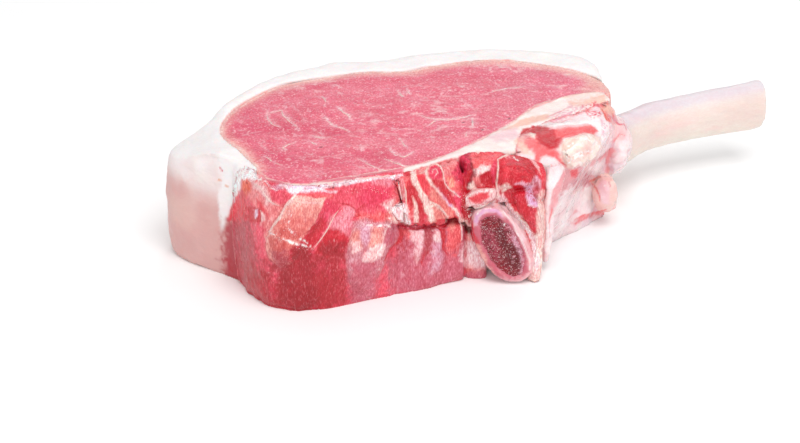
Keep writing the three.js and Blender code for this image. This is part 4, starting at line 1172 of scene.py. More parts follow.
RIGHT_LINES = [
    ("strand border", "white", 1.1, 0.1, [(398, 181), (400, 191), (402, 200)]),
    ("strand border 2", "pale pink", 1.1, 0.1, [(404, 183), (406, 192), (406, 203), (409, 212)]),
    ("cream tine", "cream", 1.8, 0.2, [(430, 201), (437, 205), (443, 211), (447, 216), (447, 222)]),
    ("ring", "cream", 1.4, 0.15, [(426, 178), (425.5, 171), (429, 166), (435, 164), (441, 167),
        (443.5, 173), (443, 180)]),
    ("inner ring", "pale pink", 1, 0.1, [(432, 174), (432, 170), (436, 169), (438, 172), (436, 175)]),
    ("line on the lump", "pale pink", 1.2, 0.15, [(443.5, 177), (445, 184), (450, 190), (456, 195),
        (460, 198)]),
    # the groove's dark red: the meat's colour and painted shade, over a groove pushed in
    ("groove", "blood", 3, -0.35, [(466, 182), (464, 190), (463, 200), (463, 210), (467, 219)]),
    ("groove deep", "dark red", 1.2, -0.2, [(463, 204), (464, 213), (468, 221), (472, 232)]),
    ("sparkle in the groove", "glint", 1.6, 0, [(472, 210), (471, 215), (466, 218)]),
    ("line by the patch", "cream", 1.8, 0.25, [(498.5, 159), (498, 171), (497, 180), (497, 190)]),
    ("line to the seam", "cream", 1.6, 0.15, [(498.5, 159), (505, 155.5), (513, 152), (519, 151)]),
    ("line over the patch", "pale pink", 1.2, 0.1, [(524, 154), (531, 160), (537, 168), (541, 175)]),
    ("fold line", "pale pink", 1.4, 0.15, [(532, 152), (533, 160), (539, 168)]),
    ("facet rim", "white", 1.3, 0.2, [(466, 209), (476, 208), (486, 205), (495, 200)]),
    ("facet top", "white", 1.2, 0.15, [(467, 199), (473, 193), (483, 190.5)]),
    ("foot of the strands", "rose red", 2.2, 0, [(399, 224), (410, 228), (420, 227), (430, 225)]),
    # a thin dark red line: the crease's own colour and painted shade
    ("crease over the low meat", "dark red", 1.5, -0.3, [(392, 213), (397, 221), (403, 223), (410, 226),
        (418, 228), (426, 225), (434, 226), (440, 229), (446, 226), (451, 220), (456, 217)]),
    ("white edge of the lobe", "white", 1.3, 0.2, [(455, 209), (459, 217), (461.5, 227), (461.5, 240)]),
    # painted highlight: white through a broken grain under the lavender
    ("white under the lavender", "glint", 1.8, 0.1, [(526, 203), (530, 206), (535, 208)]),
    ("white stripe", "white", 1.4, 0.15, [(517, 215), (526, 222), (531, 232)]),
    ("white stripe 2", "white", 1.3, 0.1, [(525, 236), (528, 248), (530, 262), (529, 272)]),
    ("white stripe 3", "white", 1.2, 0.1, [(536, 234), (537, 248), (535, 262)]),
    # painted highlights along a torn white edge
    ("torn white", "glint", 1.6, 0, [(503, 157), (511, 156), (519, 160)]),
]
print(len(RIGHT_PATCHES), "patches and", len(RIGHT_LINES), "lines")

# %% Patches of the shoulder and the rib side
# the cream lump of fat on the shoulder, which make_rib_side also smooths
LUMP = [(560, 147), (567, 140), (578, 136), (590, 134), (600, 138), (603, 150), (594, 156), (586, 166),
        (577, 166), (570, 171), (565, 163), (560, 155)]
SHOULDER_PATCHES = [
    ("peach strip", "peach", 1.5, 0, [(497, 133), (507, 127), (518, 121), (532, 117), (549, 114),
        (549, 119), (535, 123), (521, 127), (508, 131)]),
    ("top peach", "peach", 3, 0, [(568, 101), (590, 98), (606, 94), (606, 102), (590, 105), (570, 105)]),
    ("rose streaks", "streaks", 3, 0, [(548, 121), (558, 110), (572, 104), (586, 105), (584, 112),
        (568, 119), (556, 126)]),
    ("red stipple", "streaks red", 2, 0, [(583, 105), (597, 101), (603, 106), (601, 116), (592, 118),
        (584, 113)]),
    ("white ridge", "white", 1.5, 0.25, [(520, 127), (535, 124), (558, 124), (580, 121), (599, 122),
        (598, 126), (580, 125), (556, 128), (535, 127)]),
    ("coral spread", "coral red", 3, 0, [(519, 139), (532, 137), (542, 140), (545, 150), (536, 154),
        (530, 150), (522, 147)]),
    ("peach at the tip", "peach", 2.5, 0, [(514, 140), (522, 138), (526, 148), (532, 155), (520, 152)]),
    ("crimson spread", "crimson", 2.2, -0.1, [(535, 135), (549, 134), (565, 137), (562, 143), (557, 149),
        (548, 150), (539, 144)]),
    ("haze of the seam", "wall pink", 3, 0, [(486, 138), (500, 131), (514, 128), (520, 133), (512, 140),
        (496, 142)]),
    ("crimson heart", "blood", 2.5, -0.1, [(543, 136), (556, 136), (556, 143), (549, 147), (542, 142)]),
    ("coral curve", "coral red", 1.8, -0.1, [(534, 160), (535, 153), (541, 149), (552, 149), (560, 153),
        (567, 161), (569, 169), (563, 166), (555, 158), (545, 155), (540, 160), (541, 169), (537, 166)]),
    ("crimson oval", "crimson", 1, 0, [(520, 134), (523, 129), (532, 126.5), (546, 126.5), (557, 130),
        (557, 136), (547, 136), (538, 137), (529, 133), (525, 137)]),
    ("white in the oval", "cream", 1, 0.15, [(526, 136), (530, 133.5), (535, 135), (535, 138), (531, 137)]),
    ("strip", "coral red", 1.2, -0.1, [(554, 130), (575, 128), (585, 126), (595, 126.5), (597, 131),
        (592, 134), (584, 133), (574, 136), (565, 138), (557, 137)]),
    ("cream lump", "cream", 2, 0.25, LUMP),
    ("peach of the lump", "peach pink", 2, 0, [(562, 146), (572, 139), (578, 141), (572, 149), (564, 152)]),
    ("blush of the lump", "cream pink", 2, -0.1, [(566, 158), (576, 148), (588, 146), (592, 152), (580, 158),
        (570, 166)]),
    ("shadow under the lump", "frosted pink", 2, 0, [(563, 173), (573, 167), (582, 165), (592, 158),
        (603, 151), (606, 156), (592, 166), (580, 172), (572, 182), (560, 182)]),
    ("torn red", "red", 1.5, -0.1, [(569, 171), (577, 168), (578, 177), (572, 178)]),
    ("collar tear", "coral red", 1.5, -0.1, [(601, 104), (606, 101), (612, 107), (616, 116), (618, 124),
        (613, 126), (607, 120), (602, 112)]),
    ("rose curls", "pale pink", 3, 0, [(612, 118), (622, 121), (627, 131), (626, 141), (617, 142),
        (611, 132)]),
    ("stipple under the collar", "streaks", 3, 0, [(600, 118), (612, 126), (612, 146), (602, 140)]),
    ("collar haze", "peach", 2.5, 0, [(603, 101), (612, 104), (616, 112), (610, 116), (603, 110)]),
    ("collar blush", "frosted pink", 2, -0.15, [(603, 152), (610, 149), (612, 157), (606, 163)]),
]

SHOULDER_LINES = [
    ("heart of the oval", "blood", 3, 0, [(525, 131), (536, 130), (549, 131)]),
    ("ridge shadow", "pink haze", 1.2, -0.15, [(549, 129), (560, 127), (576, 125.5), (590, 125)]),
    ("streak", "magenta", 0.9, 0, [(551, 122), (562, 117), (572, 112)]),
    ("streak 2", "pale rose", 0.9, 0, [(560, 124), (570, 118), (582, 110)]),
    ("streak 3", "pale rose", 0.9, 0, [(545, 118), (558, 112), (570, 107)]),
    ("torn streak", "orange red", 1.5, -0.2, [(603, 109), (605, 116), (610, 121)]),
    ("magenta tear", "magenta", 1.2, -0.1, [(609, 115), (614, 119), (620, 124)]),
    ("collar curl", "rosy red", 1.2, -0.1, [(613, 120), (618, 124), (624, 124), (627, 130)]),
    ("collar curl 2", "salmon pink", 1.2, -0.1, [(614, 141), (619, 134), (625, 136)]),
    ("fold", "peach", 1.2, -0.1, [(562, 151), (572, 146), (582, 148)]),
    ("fold 2", "peach", 1.2, -0.1, [(568, 160), (578, 154), (588, 153)]),
    # flakes of fat in broken white, which are also painted highlights
    ("flakes", "glint", 5, 0.1, [(564, 152), (576, 143), (590, 139), (598, 146)]),
    ("flakes 2", "glint", 4, 0.1, [(566, 163), (577, 155), (592, 150)]),
    ("stripe by the eye", "thin pink", 3, 0, [(522, 111), (540, 104.5), (556, 99)]),
    ("saw tooth", "seam white", 2, 0.25, [(572, 168), (579, 161), (582, 167), (588, 164), (593, 155),
        (597, 158), (604, 151)]),
    ("saw tooth shadow", "frosted pink", 1.4, -0.2, [(571, 171), (580, 166), (585, 169), (592, 162),
        (598, 160), (606, 153)]),
]

WALL_PATCHES = [
    ("shade by the blade", "frosted pink", 3, -0.1, [(564, 171), (573, 167), (578, 176), (570, 186),
        (560, 196), (553, 212), (549, 212), (553, 194), (557, 184)]),
    # painted shade under the cream lump, in a rosy ink
    ("rose under the lump", "veil pink", 3, 0, [(568, 180), (580, 170), (592, 172), (590, 184), (574, 190)]),
    ("blade", "wall white", 1, 0.2, [(542, 162), (546, 158), (552, 158), (563, 165), (562, 173), (556, 184),
        (551, 198), (550, 212), (548, 236), (546, 252), (541, 250), (542, 226), (545, 205), (546, 188),
        (543, 172)]),
    ("red foot of the wall", "thin pink", 1.5, 0, [(572, 223), (583, 215.5), (597, 212.5), (606, 210),
        (606, 213.5), (592, 217), (576, 224)]),
    ("lobe", "cream pink", 1.2, 0.1, [(590, 181), (598, 176), (608, 175), (614, 182), (615, 196),
        (613, 207), (603, 212), (600, 198), (597, 190)]),
    ("lobe blush", "wall pink", 2, 0, [(596, 182), (606, 180), (611, 190), (609, 204), (602, 204),
        (600, 192)]),
    ("lobe edge", "cream pink", 1.5, 0, [(610, 180), (615, 182), (615, 206), (611, 208)]),
]

WALL_LINES = [
    ("blade border", "pink haze", 1.4, -0.2, [(565, 169), (560, 180), (554, 190), (551, 202), (550, 214),
        (549, 236)]),
    ("warm edge of the blade", "coral red", 1.5, -0.1, [(541, 165), (544, 177), (546, 188), (544, 204),
        (542, 224)]),
    ("red border low", "coral red", 1.2, -0.15, [(553, 208), (551, 216), (549, 224)]),
    ("lobe crease", "orange red", 1.8, -0.3, [(589, 181), (596, 178), (601, 175.5), (606, 177),
        (610, 179)]),
    ("lobe border", "coral red", 1.4, -0.25, [(591, 182), (596, 188), (600, 195), (600, 202)]),
    ("lobe glint", "glint", 1.6, 0.1, [(604, 186), (607, 192), (608, 197)]),
    ("lobe fold", "dusky rose", 1, -0.15, [(608, 181), (611, 188)]),
    ("foot line", "coral red", 1.6, -0.1, [(574, 220), (584, 215), (597, 213), (606, 209)]),
]
print(len(SHOULDER_PATCHES + WALL_PATCHES), "patches and", len(SHOULDER_LINES + WALL_LINES), "lines")

# %% Laying patches and lines
# some inks only come through a fine broken grain: cells, stipple and glints, a glint being a painted
# highlight in white
STREAK_INKS = {
    "streaks": ("magenta", 0.5), "streaks red": ("rose red", 0.9), "cells": ("maroon", 0.5),
    "maroon grain": ("dark red", 0.85), "glint": ("white", 0.95),
}
PATCH_COVER = 0.95
LINE_COVER = 0.85


def paint_near(coat, patches, lines, seed, facing=None):
    """Lays the named patches and lines on what the camera sees of a piece."""
    side = coat.shown if facing is None else facing
    pixel = coat.wobble(3.0, 0.9, seed)
    fray = rough(coat.at, 0.9, seed + 5, 3) * 0.8
    broken = ramp(rough(coat.at, 0.55, seed + 8, 2), -0.1, 0.4)
    for _, colour, soft, lift, outline in patches:
        mask = patch_mask(outline, pixel, soft, fray) * side
        shade, cover = STREAK_INKS.get(colour, (colour, PATCH_COVER))
        coat.lay(shade, mask * cover * (broken if colour in STREAK_INKS else 1))
        coat.push(mask * lift)
    for _, colour, width, lift, path in lines:
        mask = line_mask(path, pixel, width) * side
        shade, cover = STREAK_INKS.get(colour, (colour, LINE_COVER))
        coat.lay(shade, mask * cover * (broken if colour in STREAK_INKS else 0.8 + 0.3 * fray))
        coat.push(mask * lift)


def streaked(coat, run, seed, amount):
    """Fibre tone along a direction given in photo pixels: fine paler and darker streaks."""
    run = np.array(run, float) / np.hypot(*run)
    along = coat.pixel @ run
    aside = coat.pixel @ np.array([-run[1], run[0]])
    tone = rough(np.stack([aside, along / 6, 0 * along], 1), 1.7, seed, 2) * amount * coat.shown
    coat.colour = np.clip(coat.colour * (1 + tone[:, None] * np.array([0.3, 1.0, 0.95])), 0, 1)


print(len(STREAK_INKS), "inks come through a broken grain")

# %% [markdown]
# ## Fat round the loin
#
# The cap of back fat is a thick soft band, trimmed by knife, so its outer wall is made of broad shallow
# slices. It is nearly white, with a blush where blood has soaked in near the lean. The seam fat runs
# between the muscles and is softer and more ragged.

# %% Back fat
def trim_marks(coat, seed, depth):
    """Broad shallow slices and fine drag lines left by a trimming knife on an upright wall."""
    at = coat.at
    wall = (1 - coat.upward - coat.downward) * (1 - coat.near("chain_meat", 2.5))
    slices = np.abs(rough(at, 11, seed, 1, (1.6, 1.6, 1))) * 1.1
    drag = rough(at, 2.4, seed + 2, 2, (4, 4, 0.5)) * 0.25
    coat.push((-slices + 0.3 * drag) * depth * wall)


def make_back_fat():
    """The cap of fat: trimmed on its wall, darker and rosier below, partly as painted shade, pink beside the
    lean.
    """
    piece = fine_copy(["fat_cap"], "back_fat", voxel=0.56, smoothing=3)
    coat = Coat(piece, "fat", wet=0.35)
    trim_marks(coat, seed=41, depth=0.5)
    at = coat.at
    coat.push(rough(at, 1.8, 46) * 0.07 + rough(at, 5, 47) * 0.14)
    coat.look()
    # the wall turns darker and rosier towards the table: partly the fat's own tone, partly painted shade
    low = 1 - stretch_of(at, 17, 34, 2)
    wall = 1 - coat.upward
    coat.lay("fat side", wall * low * 0.95 + ramp(rough(at, 8, 49), 0.1, 0.9) * 0.3 * wall)
    coat.lay("fat low", wall * ramp(low + 0.3 * rough(at, 6, 50, 2, (1, 1, 2)), 0.35, 1.0) * 0.85)
    coat.lay("fat cream", ramp(rough(at, 10, 52), 0.2, 1.0) * 0.15)
    coat.join("loin_eye", "peach", 0.8, 0.35, 0.6)
    # peach on the fat's inner wall beside the eye: the rim's own warm tone, and painted shade of the crease
    coat.lay("rim peach", coat.near("loin_eye", 0.8) * (1 - coat.upward) * coat.shown)
    coat.crown("loin_eye")
    coat.join("chain_meat", "thin pink", 1.3, 0.8, 0.4)
    coat.look()
    edge = coat.near("chain_meat", 0.8) * (1 - coat.upward)
    coat.lay("coral", ramp(edge + rough(at, 1.0, 55) * 0.4, 0.5, 1.0) * 0.5)
    paint_near(coat, LEFT_PATCHES, LEFT_LINES, 60)
    return coat.finish(FAT, "fat", "fat_cap")


make_back_fat()


# %% Seam fat
def make_seam_fat():
    """The seam between the eye and the spine side, painted with what lies on both sides of it."""
    piece = fine_copy(["seam_fat"], "seam_fat_layer", voxel=0.42, smoothing=3, swell=0.3)
    coat = Coat(piece, "seam white", wet=0.45)
    at = coat.at
    coat.push(rough(at, 4, 61) * 0.2 + rough(at, 1.2, 63) * 0.08)
    coat.lay("cream pink", ramp(rough(at, 5, 65), 0.0, 0.9) * 0.5)
    coat.lay("peach", ramp(coat.near("loin_eye", 1.6) + rough(at, 1, 66) * 0.4, 0.4, 1.0) * 0.6)
    coat.join("shoulder_fat", "peach", 1.4, 1.0, 0.3)
    coat.join("shoulder_strip", "rose red", 0.8, 0.5, 0.4)
    coat.join("spine_meat", "cream pink", 1.0, 0.7, 0.4)
    coat.join("loin_eye", "cream pink", 0.5, 0.25, 0.3)
    # pale rose on the seam's wall beside the eye: the rim's tone, and painted shade of the crease
    coat.lay("pale rose", coat.near("loin_eye", 0.8) * (1 - coat.upward) * coat.shown)
    coat.crown("loin_eye")
    coat.crown("shoulder_fat")
    coat.join("chain_meat", "thin pink", grow=0.3, cover=0.4)
    coat.look()
    paint_near(coat, SEAM_PATCHES + SHOULDER_PATCHES, SHOULDER_LINES, 67)
    # a pink line along the shoulder fat: the seam's own pink, and painted shade of the crease between the
    # skins
    coat.lay("salmon pink", coat.near("shoulder_fat", 0.3) * 0.6)
    wall = coat.shown * (1 - coat.upward)
    paint_near(coat, SEAM_PATCHES + LEFT_PATCHES + RIGHT_PATCHES, LEFT_LINES + RIGHT_LINES, 68, wall)
    return coat.finish(SEAM, "seam", "seam_fat")


make_seam_fat()

# %% [markdown]
# ## The near wall
#
# Where the loin was cut from the backbone many small things meet: the chain of side meat with a sheet
# of sinew on it, leaning strands of muscle and fat, the foot of the upright blade bone, and the sawn
# spine bone. Each has its own solid. One skin covers them all but the sawn bone, because in the chop
# they have grown together. Its creases are half filled and inked darker as painted shade, and its
# fibres run down the wall. The rib side is one skin of membrane in the same way.

# %% The near wall
# thin pieces that lie on a wall, and sink into it so that no gap opens behind them
SKINS = ["sinew_flap", "silverskin", "fat_tab", "red_patch", "spine_facet", "red_streak",
         "shoulder_strip", "shoulder_fat"]
# the nodes of the wall's skin, each with the ink that it starts from
WALL_INKS = {
    "chain_meat": "rosy red", "sinew_flap": "sinew", "silverskin": "veil pink",
    "fat_tab": "cream pink", "strand_lean_1": "rosy red", "strand_lean_2": "crimson",
    "strand_lean_3": "red", "strand_lean_4": "coral red", "strand_lean_5": "deep red",
    "strand_fat_1": "peach pink", "strand_fat_2": "thin pink", "under_meat": "dusky rose",
    "feather_bone": "maroon", "spine_meat": "deep red", "red_patch": "crimson",
    "spine_facet": "pale pink", "red_streak": "crimson", "neck_meat": "coral",
    "spine_strap": "cream pink",
}


def patch_tone(coat, seed, amount):
    """Uneven tone: a little darker in places and a little paler in others."""
    tone = rough(coat.at, 4.0, seed, 2, (1, 1, 1.8)) * 0.16 + rough(coat.at, 1.0, seed + 1) * 0.07
    warm = np.array([0.4, 1.0, 0.9]) * amount
    coat.colour = np.clip(coat.colour * (1 + tone[:, None] * warm), 0, 1)


def make_wall():
    """The near wall as one skin: side muscle, strands, blade foot and the meat by the spine."""
    piece = fine_copy(WALL_INKS, "near_wall", voxel=0.34, smoothing=3, swell=0.3, sinks=SKINS)
    coat = Coat(piece, "rosy red", wet=0.65)
    coat.ground(WALL_INKS, 0.35, 90)
    coat.soften(coat.shown * (1 - ramp(coat.pixel[:, 0], 405, 420)))
    coat.soften(coat.shown * 0.3)
    gap = patch_mask(STRAND_GAP, coat.pixel, 3) * (1 - coat.upward)
    coat.shut("strand_lean_1", ramp(gap, 0.1, 0.6), 4.0)
    coat.soften(gap * coat.shown, 140)
    at = coat.at
    coat.push(rough(at, 3.5, 101) * 0.2 + rough(at, 1.5, 104, 2, (1, 1, 3)) * 0.1)
    # painted shade: the creases are half filled and inked crimson
    coat.fill_and_shade_creases("crimson", 0.9)
    # painted shade: the faces that turn downwards are inked crimson
    coat.lay("crimson", ramp(-coat.out[:, 2], 0.3, 0.8) * 0.9)
    coat.join("cartilage_rim", "cream pink", 1.4, 1.0)
    coat.join("cartilage_blade", "coral red")
    coat.join("shoulder_fat", "coral red", cover=0.5)
    coat.join("seam_fat", "rosy red", 1.0, 0.7, 0.4)
    coat.join("fat_cap", "salmon pink", 1.7, 1.1, 0.5)
    coat.shut("fat_cap", coat.near("loin_eye", 6), 3.6)
    coat.shut("fat_cap", 1.0, 1.5)
    paint_near(coat, LEFT_PATCHES + RIGHT_PATCHES, LEFT_LINES + RIGHT_LINES, 109)
    coat.look()
    # painted shade in the creases again, in crimson
    coat.fill_and_shade_creases("crimson", 0.8)
    # the corner's fat is smooth and covers its creases too
    corner = patch_mask(CORNER_FAT[-1], coat.pixel, 3)
    coat.relax(corner * coat.shown * 0.9, 24)
    paint_near(coat, [CORNER_FAT], [], 109)
    at = coat.at
    patch_tone(coat, 106, 1.0)
    left = 1 - ramp(coat.pixel[:, 0], 385, 400)
    streaked(coat, (23, -36), 117, 0.22 * left)
    streaked(coat, (14, 40), 119, 0.2 * (1 - left))
    pale = ramp(coat.colour[:, 1], 0.03, 0.14)
    frost = ramp(rough(at, 1.1, 111, 3, (1, 1, 1.4)), 0.3, 1.1) * coat.shown * pale
    coat.lay("pale pink", frost * 0.3)
    coat.lay("rose red", ramp(rough(at, 2.2, 113, 3, (1, 1, 2)), 0.3, 1.2) * 0.35)
    coat.wet = np.clip(0.65 + 0.35 * rough(at, 2.0, 115), 0, 1)
    return coat.finish(WET_MEAT, "red_lean", *WALL_INKS)


near_wall = make_wall()

# %% The rib side
RIB_INKS = {
    "rib_meat": "wall white", "cartilage_blade": "wall white", "shoulder_strip": "coral red",
    "shoulder_fat": "cream pink", "meat_lobe": "cream pink", "rib_collar": "wall white",
}


def make_rib_side():
    """The sloping rib side as one skin: pale meat, cartilage blade, shoulder and collar."""
    piece = fine_copy(RIB_INKS, "rib_side", voxel=0.4, smoothing=6, swell=0.3, sinks=SKINS)
    coat = Coat(piece, "fat blush", wet=0.6)
    coat.ground(RIB_INKS, 0.4, 92, 0.6)
    coat.soften(coat.upward * ramp(coat.pixel[:, 0], 515, 525))
    coat.soften(coat.shown * 0.4)
    coat.soften(patch_mask(LUMP, coat.pixel, 5) * coat.shown, 160)
    at = coat.at
    coat.push(rough(at, 4, 201) * 0.3 + rough(at, 1.5, 204, 3, (1, 1, 2)) * 0.1)
    folds = np.abs(rough(at, 7, 206, 2, (1.6, 1.6, 0.7)))
    wall = coat.shown * (1 - coat.upward)
    coat.push(-ramp(0.25 - folds, 0, 0.25) * 0.2 * wall)
    coat.lay("wall pink", ramp(0.3 - folds, 0, 0.3) * 0.5 * wall)
    coat.lay("wall lilac", ramp(rough(at, 4.5, 208, 3), 0.2, 1.0) * 0.6 * wall)
    coat.look()
    # painted shade: the creases are half filled and inked pink
    coat.fill_and_shade_creases("salmon pink", 0.5)
    coat.fill_and_shade_creases("thin pink", 0.5)
    coat.join("spine_meat", "coral red")
    coat.join("spine_strap", "coral red")
    coat.join("seam_fat", "thin pink", 1.6, 1.1, 0.4)
    coat.join("loin_eye", "peach", cover=0.3)
    coat.crown("seam_fat")
    coat.shut("seam_fat", 1.0, 1.7)
    paint_near(coat, WALL_PATCHES, WALL_LINES, 209, coat.shown * (1 - coat.upward))
    paint_near(coat, SHOULDER_PATCHES, SHOULDER_LINES, 215)
    coat.look()
    # a pink line along the seam fat: the membrane's pink, and painted shade of the crease between the skins
    coat.lay("salmon pink", coat.near("seam_fat", 0.3) * 0.6)
    # painted shade in the creases again, in salmon pink
    coat.fill_and_shade_creases("salmon pink", 0.4)
    at = coat.at
    patch_tone(coat, 206, 0.8)
    coat.wet = np.clip(0.6 + 0.35 * rough(at, 2.0, 217), 0, 1)
    return coat.finish(MEMBRANE, "membrane", *RIB_INKS)


rib_side = make_rib_side()

# %% [markdown]
# ## The sawn spine bone
#
# The saw went straight through a vertebra. Its core is dark, spongy and full of marrow, inside a
# pinkish rim that turns lilac at the top left.

# %% Spine bone
BONE_PATCHES = [
    ("dark at the left top", "maroon", 1.5, -0.2, [(480, 219), (486, 216), (492, 220), (499, 222), (501, 230),
        (496, 230), (489, 227), (483, 228)]),
    ("dark diagonal", "core", 1.8, -0.2, [(496, 228), (502, 227), (507, 238), (506, 252), (500, 246)]),
    ("dark right", "core", 2.5, -0.1, [(505, 244), (514, 240), (520, 256), (518, 270), (510, 268),
        (506, 256)]),
    ("dark foot", "maroon", 3, 0, [(493, 256), (505, 262), (514, 270), (508, 281), (498, 274)]),
    ("dusky left", "dusky", 2.5, 0, [(481, 226), (494, 234), (500, 250), (498, 262), (489, 250),
        (482, 236)]),
    ("dusky top", "dusky", 2.5, 0, [(486, 213), (496, 211), (505, 219), (511, 231), (516, 244),
        (509, 242), (501, 226), (493, 219)]),
    ("dusky border", "lilac pink", 2, 0, [(508, 222), (516, 236), (524, 254), (526, 272), (520, 277),
        (521, 262), (515, 246)]),
]
BONE_LINES = [
    # crumbs in broken white, which are also painted highlights
    ("crumbs and glints", "glint", 1.4, 0, [(506, 219), (504, 224), (501, 231)]),
]


def make_spine_bone():
    """The sawn core: dark marrow between pale walls of bone, a little hollow in its holes."""
    piece = fine_copy(["chine_bone"], "spine_bone", voxel=0.28)
    coat = Coat(piece, "core light", wet=0.6)
    at = coat.at
    coat.lay("dusky", ramp(rough(at, 2.0, 403), 0.1, 1.0) * 0.6)
    paint_near(coat, BONE_PATCHES, BONE_LINES, 407)
    holes = rough(at, 0.8, 405, 2)
    coat.push(holes * 0.2)
    coat.lay("core", ramp(-holes, 0.1, 0.7) * 0.8)
    coat.lay("grain", ramp(holes, 0.7, 1.1) * 0.75)
    edge = coat.near("cartilage_rim", 1.2)
    coat.lay("dusky rose", ramp(edge + 0.5 * rough(at, 0.9, 409, 2), 0.3, 1.0) * 0.8)
    coat.push(edge * 0.4)
    return coat.finish(MARROW, "marrow", "chine_bone")


spine_bone = make_spine_bone()

# %% The rim of the spine bone
RIM_PATCHES = [
    ("lilac cap", "lilac", 1.5, 0.1, [(474, 222), (476, 214), (483, 209), (493, 208), (501, 212),
        (503, 218), (496, 213), (487, 212), (480, 217), (478, 226)]),
    ("rose of the cap", "frosted pink", 1.2, 0, [(478, 209), (487, 206), (496, 207), (500, 209), (490, 208)]),
    ("dusk inside the cap", "dusky rose", 1.2, 0, [(478, 227), (480, 217), (487, 212), (496, 213),
        (503, 219), (497, 217), (488, 217), (483, 222)]),
    ("left rose", "dusky rose", 2, 0, [(471, 228), (480, 226), (484, 238), (490, 252), (497, 268),
        (504, 280), (494, 280), (484, 264), (474, 244)]),
    ("left foot", "peach pink", 2, 0, [(470, 240), (477, 242), (486, 260), (495, 276), (492, 284),
        (476, 264)]),
    ("red crescent", "deep red", 1.5, 0, [(468, 222), (473, 220), (474, 232), (480, 244), (475, 244),
        (470, 236)]),
    ("blush at the right", "dusky rose", 2, 0, [(503, 214), (509, 220), (517, 236), (526, 256),
        (528, 272), (523, 276), (522, 258), (512, 236)]),
    ("foot of the rim", "pink haze", 2, 0, [(494, 276), (504, 281), (518, 281), (528, 274), (527, 283),
        (508, 287), (496, 284)]),
]
RIM_LINES = [
    # painted highlight along the top of the cap
    ("glint along the cap", "glint", 1.3, 0.1, [(476, 218), (479, 212), (486, 208), (494, 208)]),
    ("white line", "white", 1.3, 0.15, [(503, 211), (513, 224), (522, 242), (529, 258), (529, 270)]),
    ("red line", "deep red", 1, -0.1, [(491, 258), (494, 268), (500, 276)]),
]
# what the rim grows towards, and the ink of the border
RIM_NEIGHBOURS = {
    "spine_meat": "cream pink", "spine_strap": "cream pink", "spine_facet": "frosted pink",
    "neck_meat": "deep red", "chine_bone": "dusky rose",
}


def make_rim():
    """The smooth rim round the core, grown towards the meat on each side of it."""
    piece = fine_copy(["cartilage_rim"], "spine_rim", voxel=0.28)
    coat = Coat(piece, "cartilage", wet=0.7)
    at = coat.at
    coat.push(rough(at, 2.2, 411) * 0.2 + rough(at, 0.9, 412) * 0.08)
    coat.lay("frosted pink", ramp(rough(at, 2.6, 413), -0.2, 0.8) * 0.5)
    coat.lay("frosted pink", (1 - stretch_of(at, 8, 18, 2)) * 0.5)
    for node, name in RIM_NEIGHBOURS.items():
        coat.join(node, name, 1.1, 0.8)
    coat.look()
    paint_near(coat, RIM_PATCHES, RIM_LINES, 415)
    edge = coat.near("chine_bone", 0.9)
    coat.lay("dusky rose", ramp(edge + 0.6 * rough(at, 0.8, 417, 2), 0.35, 1.0) * 0.8)
    return coat.finish(CARTILAGE, "cartilage", "cartilage_rim")


make_rim()

# %% [markdown]
# ## The rib bone
#
# The long bone was scraped clean. It is lilac white above, which is a painted shade where its top curves
# away, blushes along its middle and is creamy below, with fine scrape marks along it.

# %% Rib bone
# the way along the bone, from the meat to its bare end
RIB_WAY = np.array([0.88, 0.47, 0.03])


def make_rib_bone():
    """The scraped bone: fine scratches along it, lilac above as painted shade, blushing in the middle."""
    piece = fine_copy(["rib_bone"], "rib_bone_scraped", voxel=0.42, swell=0.1)
    coat = Coat(piece, "bone cream", wet=0.5)
    at = coat.at
    along = at @ RIB_WAY
    across = at - along[:, None] * RIB_WAY
    turned = np.stack([along * 0.2, across[:, 1], across[:, 2]], 1)
    coat.push(rough(turned, 1.2, 421, 2) * 0.09 + rough(at, 5, 423) * 0.18)
    # painted shade: lilac on the faces that turn upwards, where the top curves away
    coat.lay("lilac bone shade", ramp(coat.out[:, 2], 0.1, 0.8) * 0.8)
    middle = np.exp(-((coat.out[:, 2] - 0.05) / 0.3) ** 2)
    coat.lay("bone blush", middle * 0.6)
    coat.lay("pale pink", ramp(rough(turned, 3.5, 425, 2), 0.3, 1.0) * 0.3)
    return coat.finish(BONE, "bone", "rib_bone")


make_rib_bone()

# %% [markdown]
# ## Grains of fat, marrow and moisture
#
# A saw leaves a dust of fat and marrow on a cut, and wet meat carries beads of moisture. The pale beads
# on the wall and the pale marrow grains also stand for glints, as painted highlights. They are the same
# small thing again and again, so a node tree sets them: it spreads points over a surface, more where the
# surface's own "grow" number is high, and puts one flattened grain on each, turned and sized at random.
# One tree serves all of them, with its sizes as named inputs.

# %% A tree that sets grains on a surface
GRAIN_WETNESS = 0.9
# in radians: how far a grain may tilt out of the surface
TILT = 0.3


def new_tree(name, inputs):
    """An empty node tree with a geometry input, a geometry output and the named inputs."""
    tree = bpy.data.node_groups.new(name, "GeometryNodeTree")
    tree.interface.new_socket("Surface", in_out="INPUT", socket_type="NodeSocketGeometry")
    for label, kind in inputs.items():
        tree.interface.new_socket(label, in_out="INPUT", socket_type="NodeSocket" + kind)
    tree.interface.new_socket("Made", in_out="OUTPUT", socket_type="NodeSocketGeometry")
    return tree, tree.nodes.new("NodeGroupInput").outputs


def close_tree(tree, geometry, material):
    """The end of each tree: real faces, smooth shading and a material."""
    solid = placed(tree, "GeometryNodeRealizeInstances", {"Geometry": geometry})
    smooth = placed(tree, "GeometryNodeSetShadeSmooth", {"Geometry": solid.outputs[0]})
    dressed = placed(tree, "GeometryNodeSetMaterial",
                     {"Geometry": smooth.outputs[0], "Material": material})
    tree.links.new(dressed.outputs[0], tree.nodes.new("NodeGroupOutput").inputs[0])
    return tree


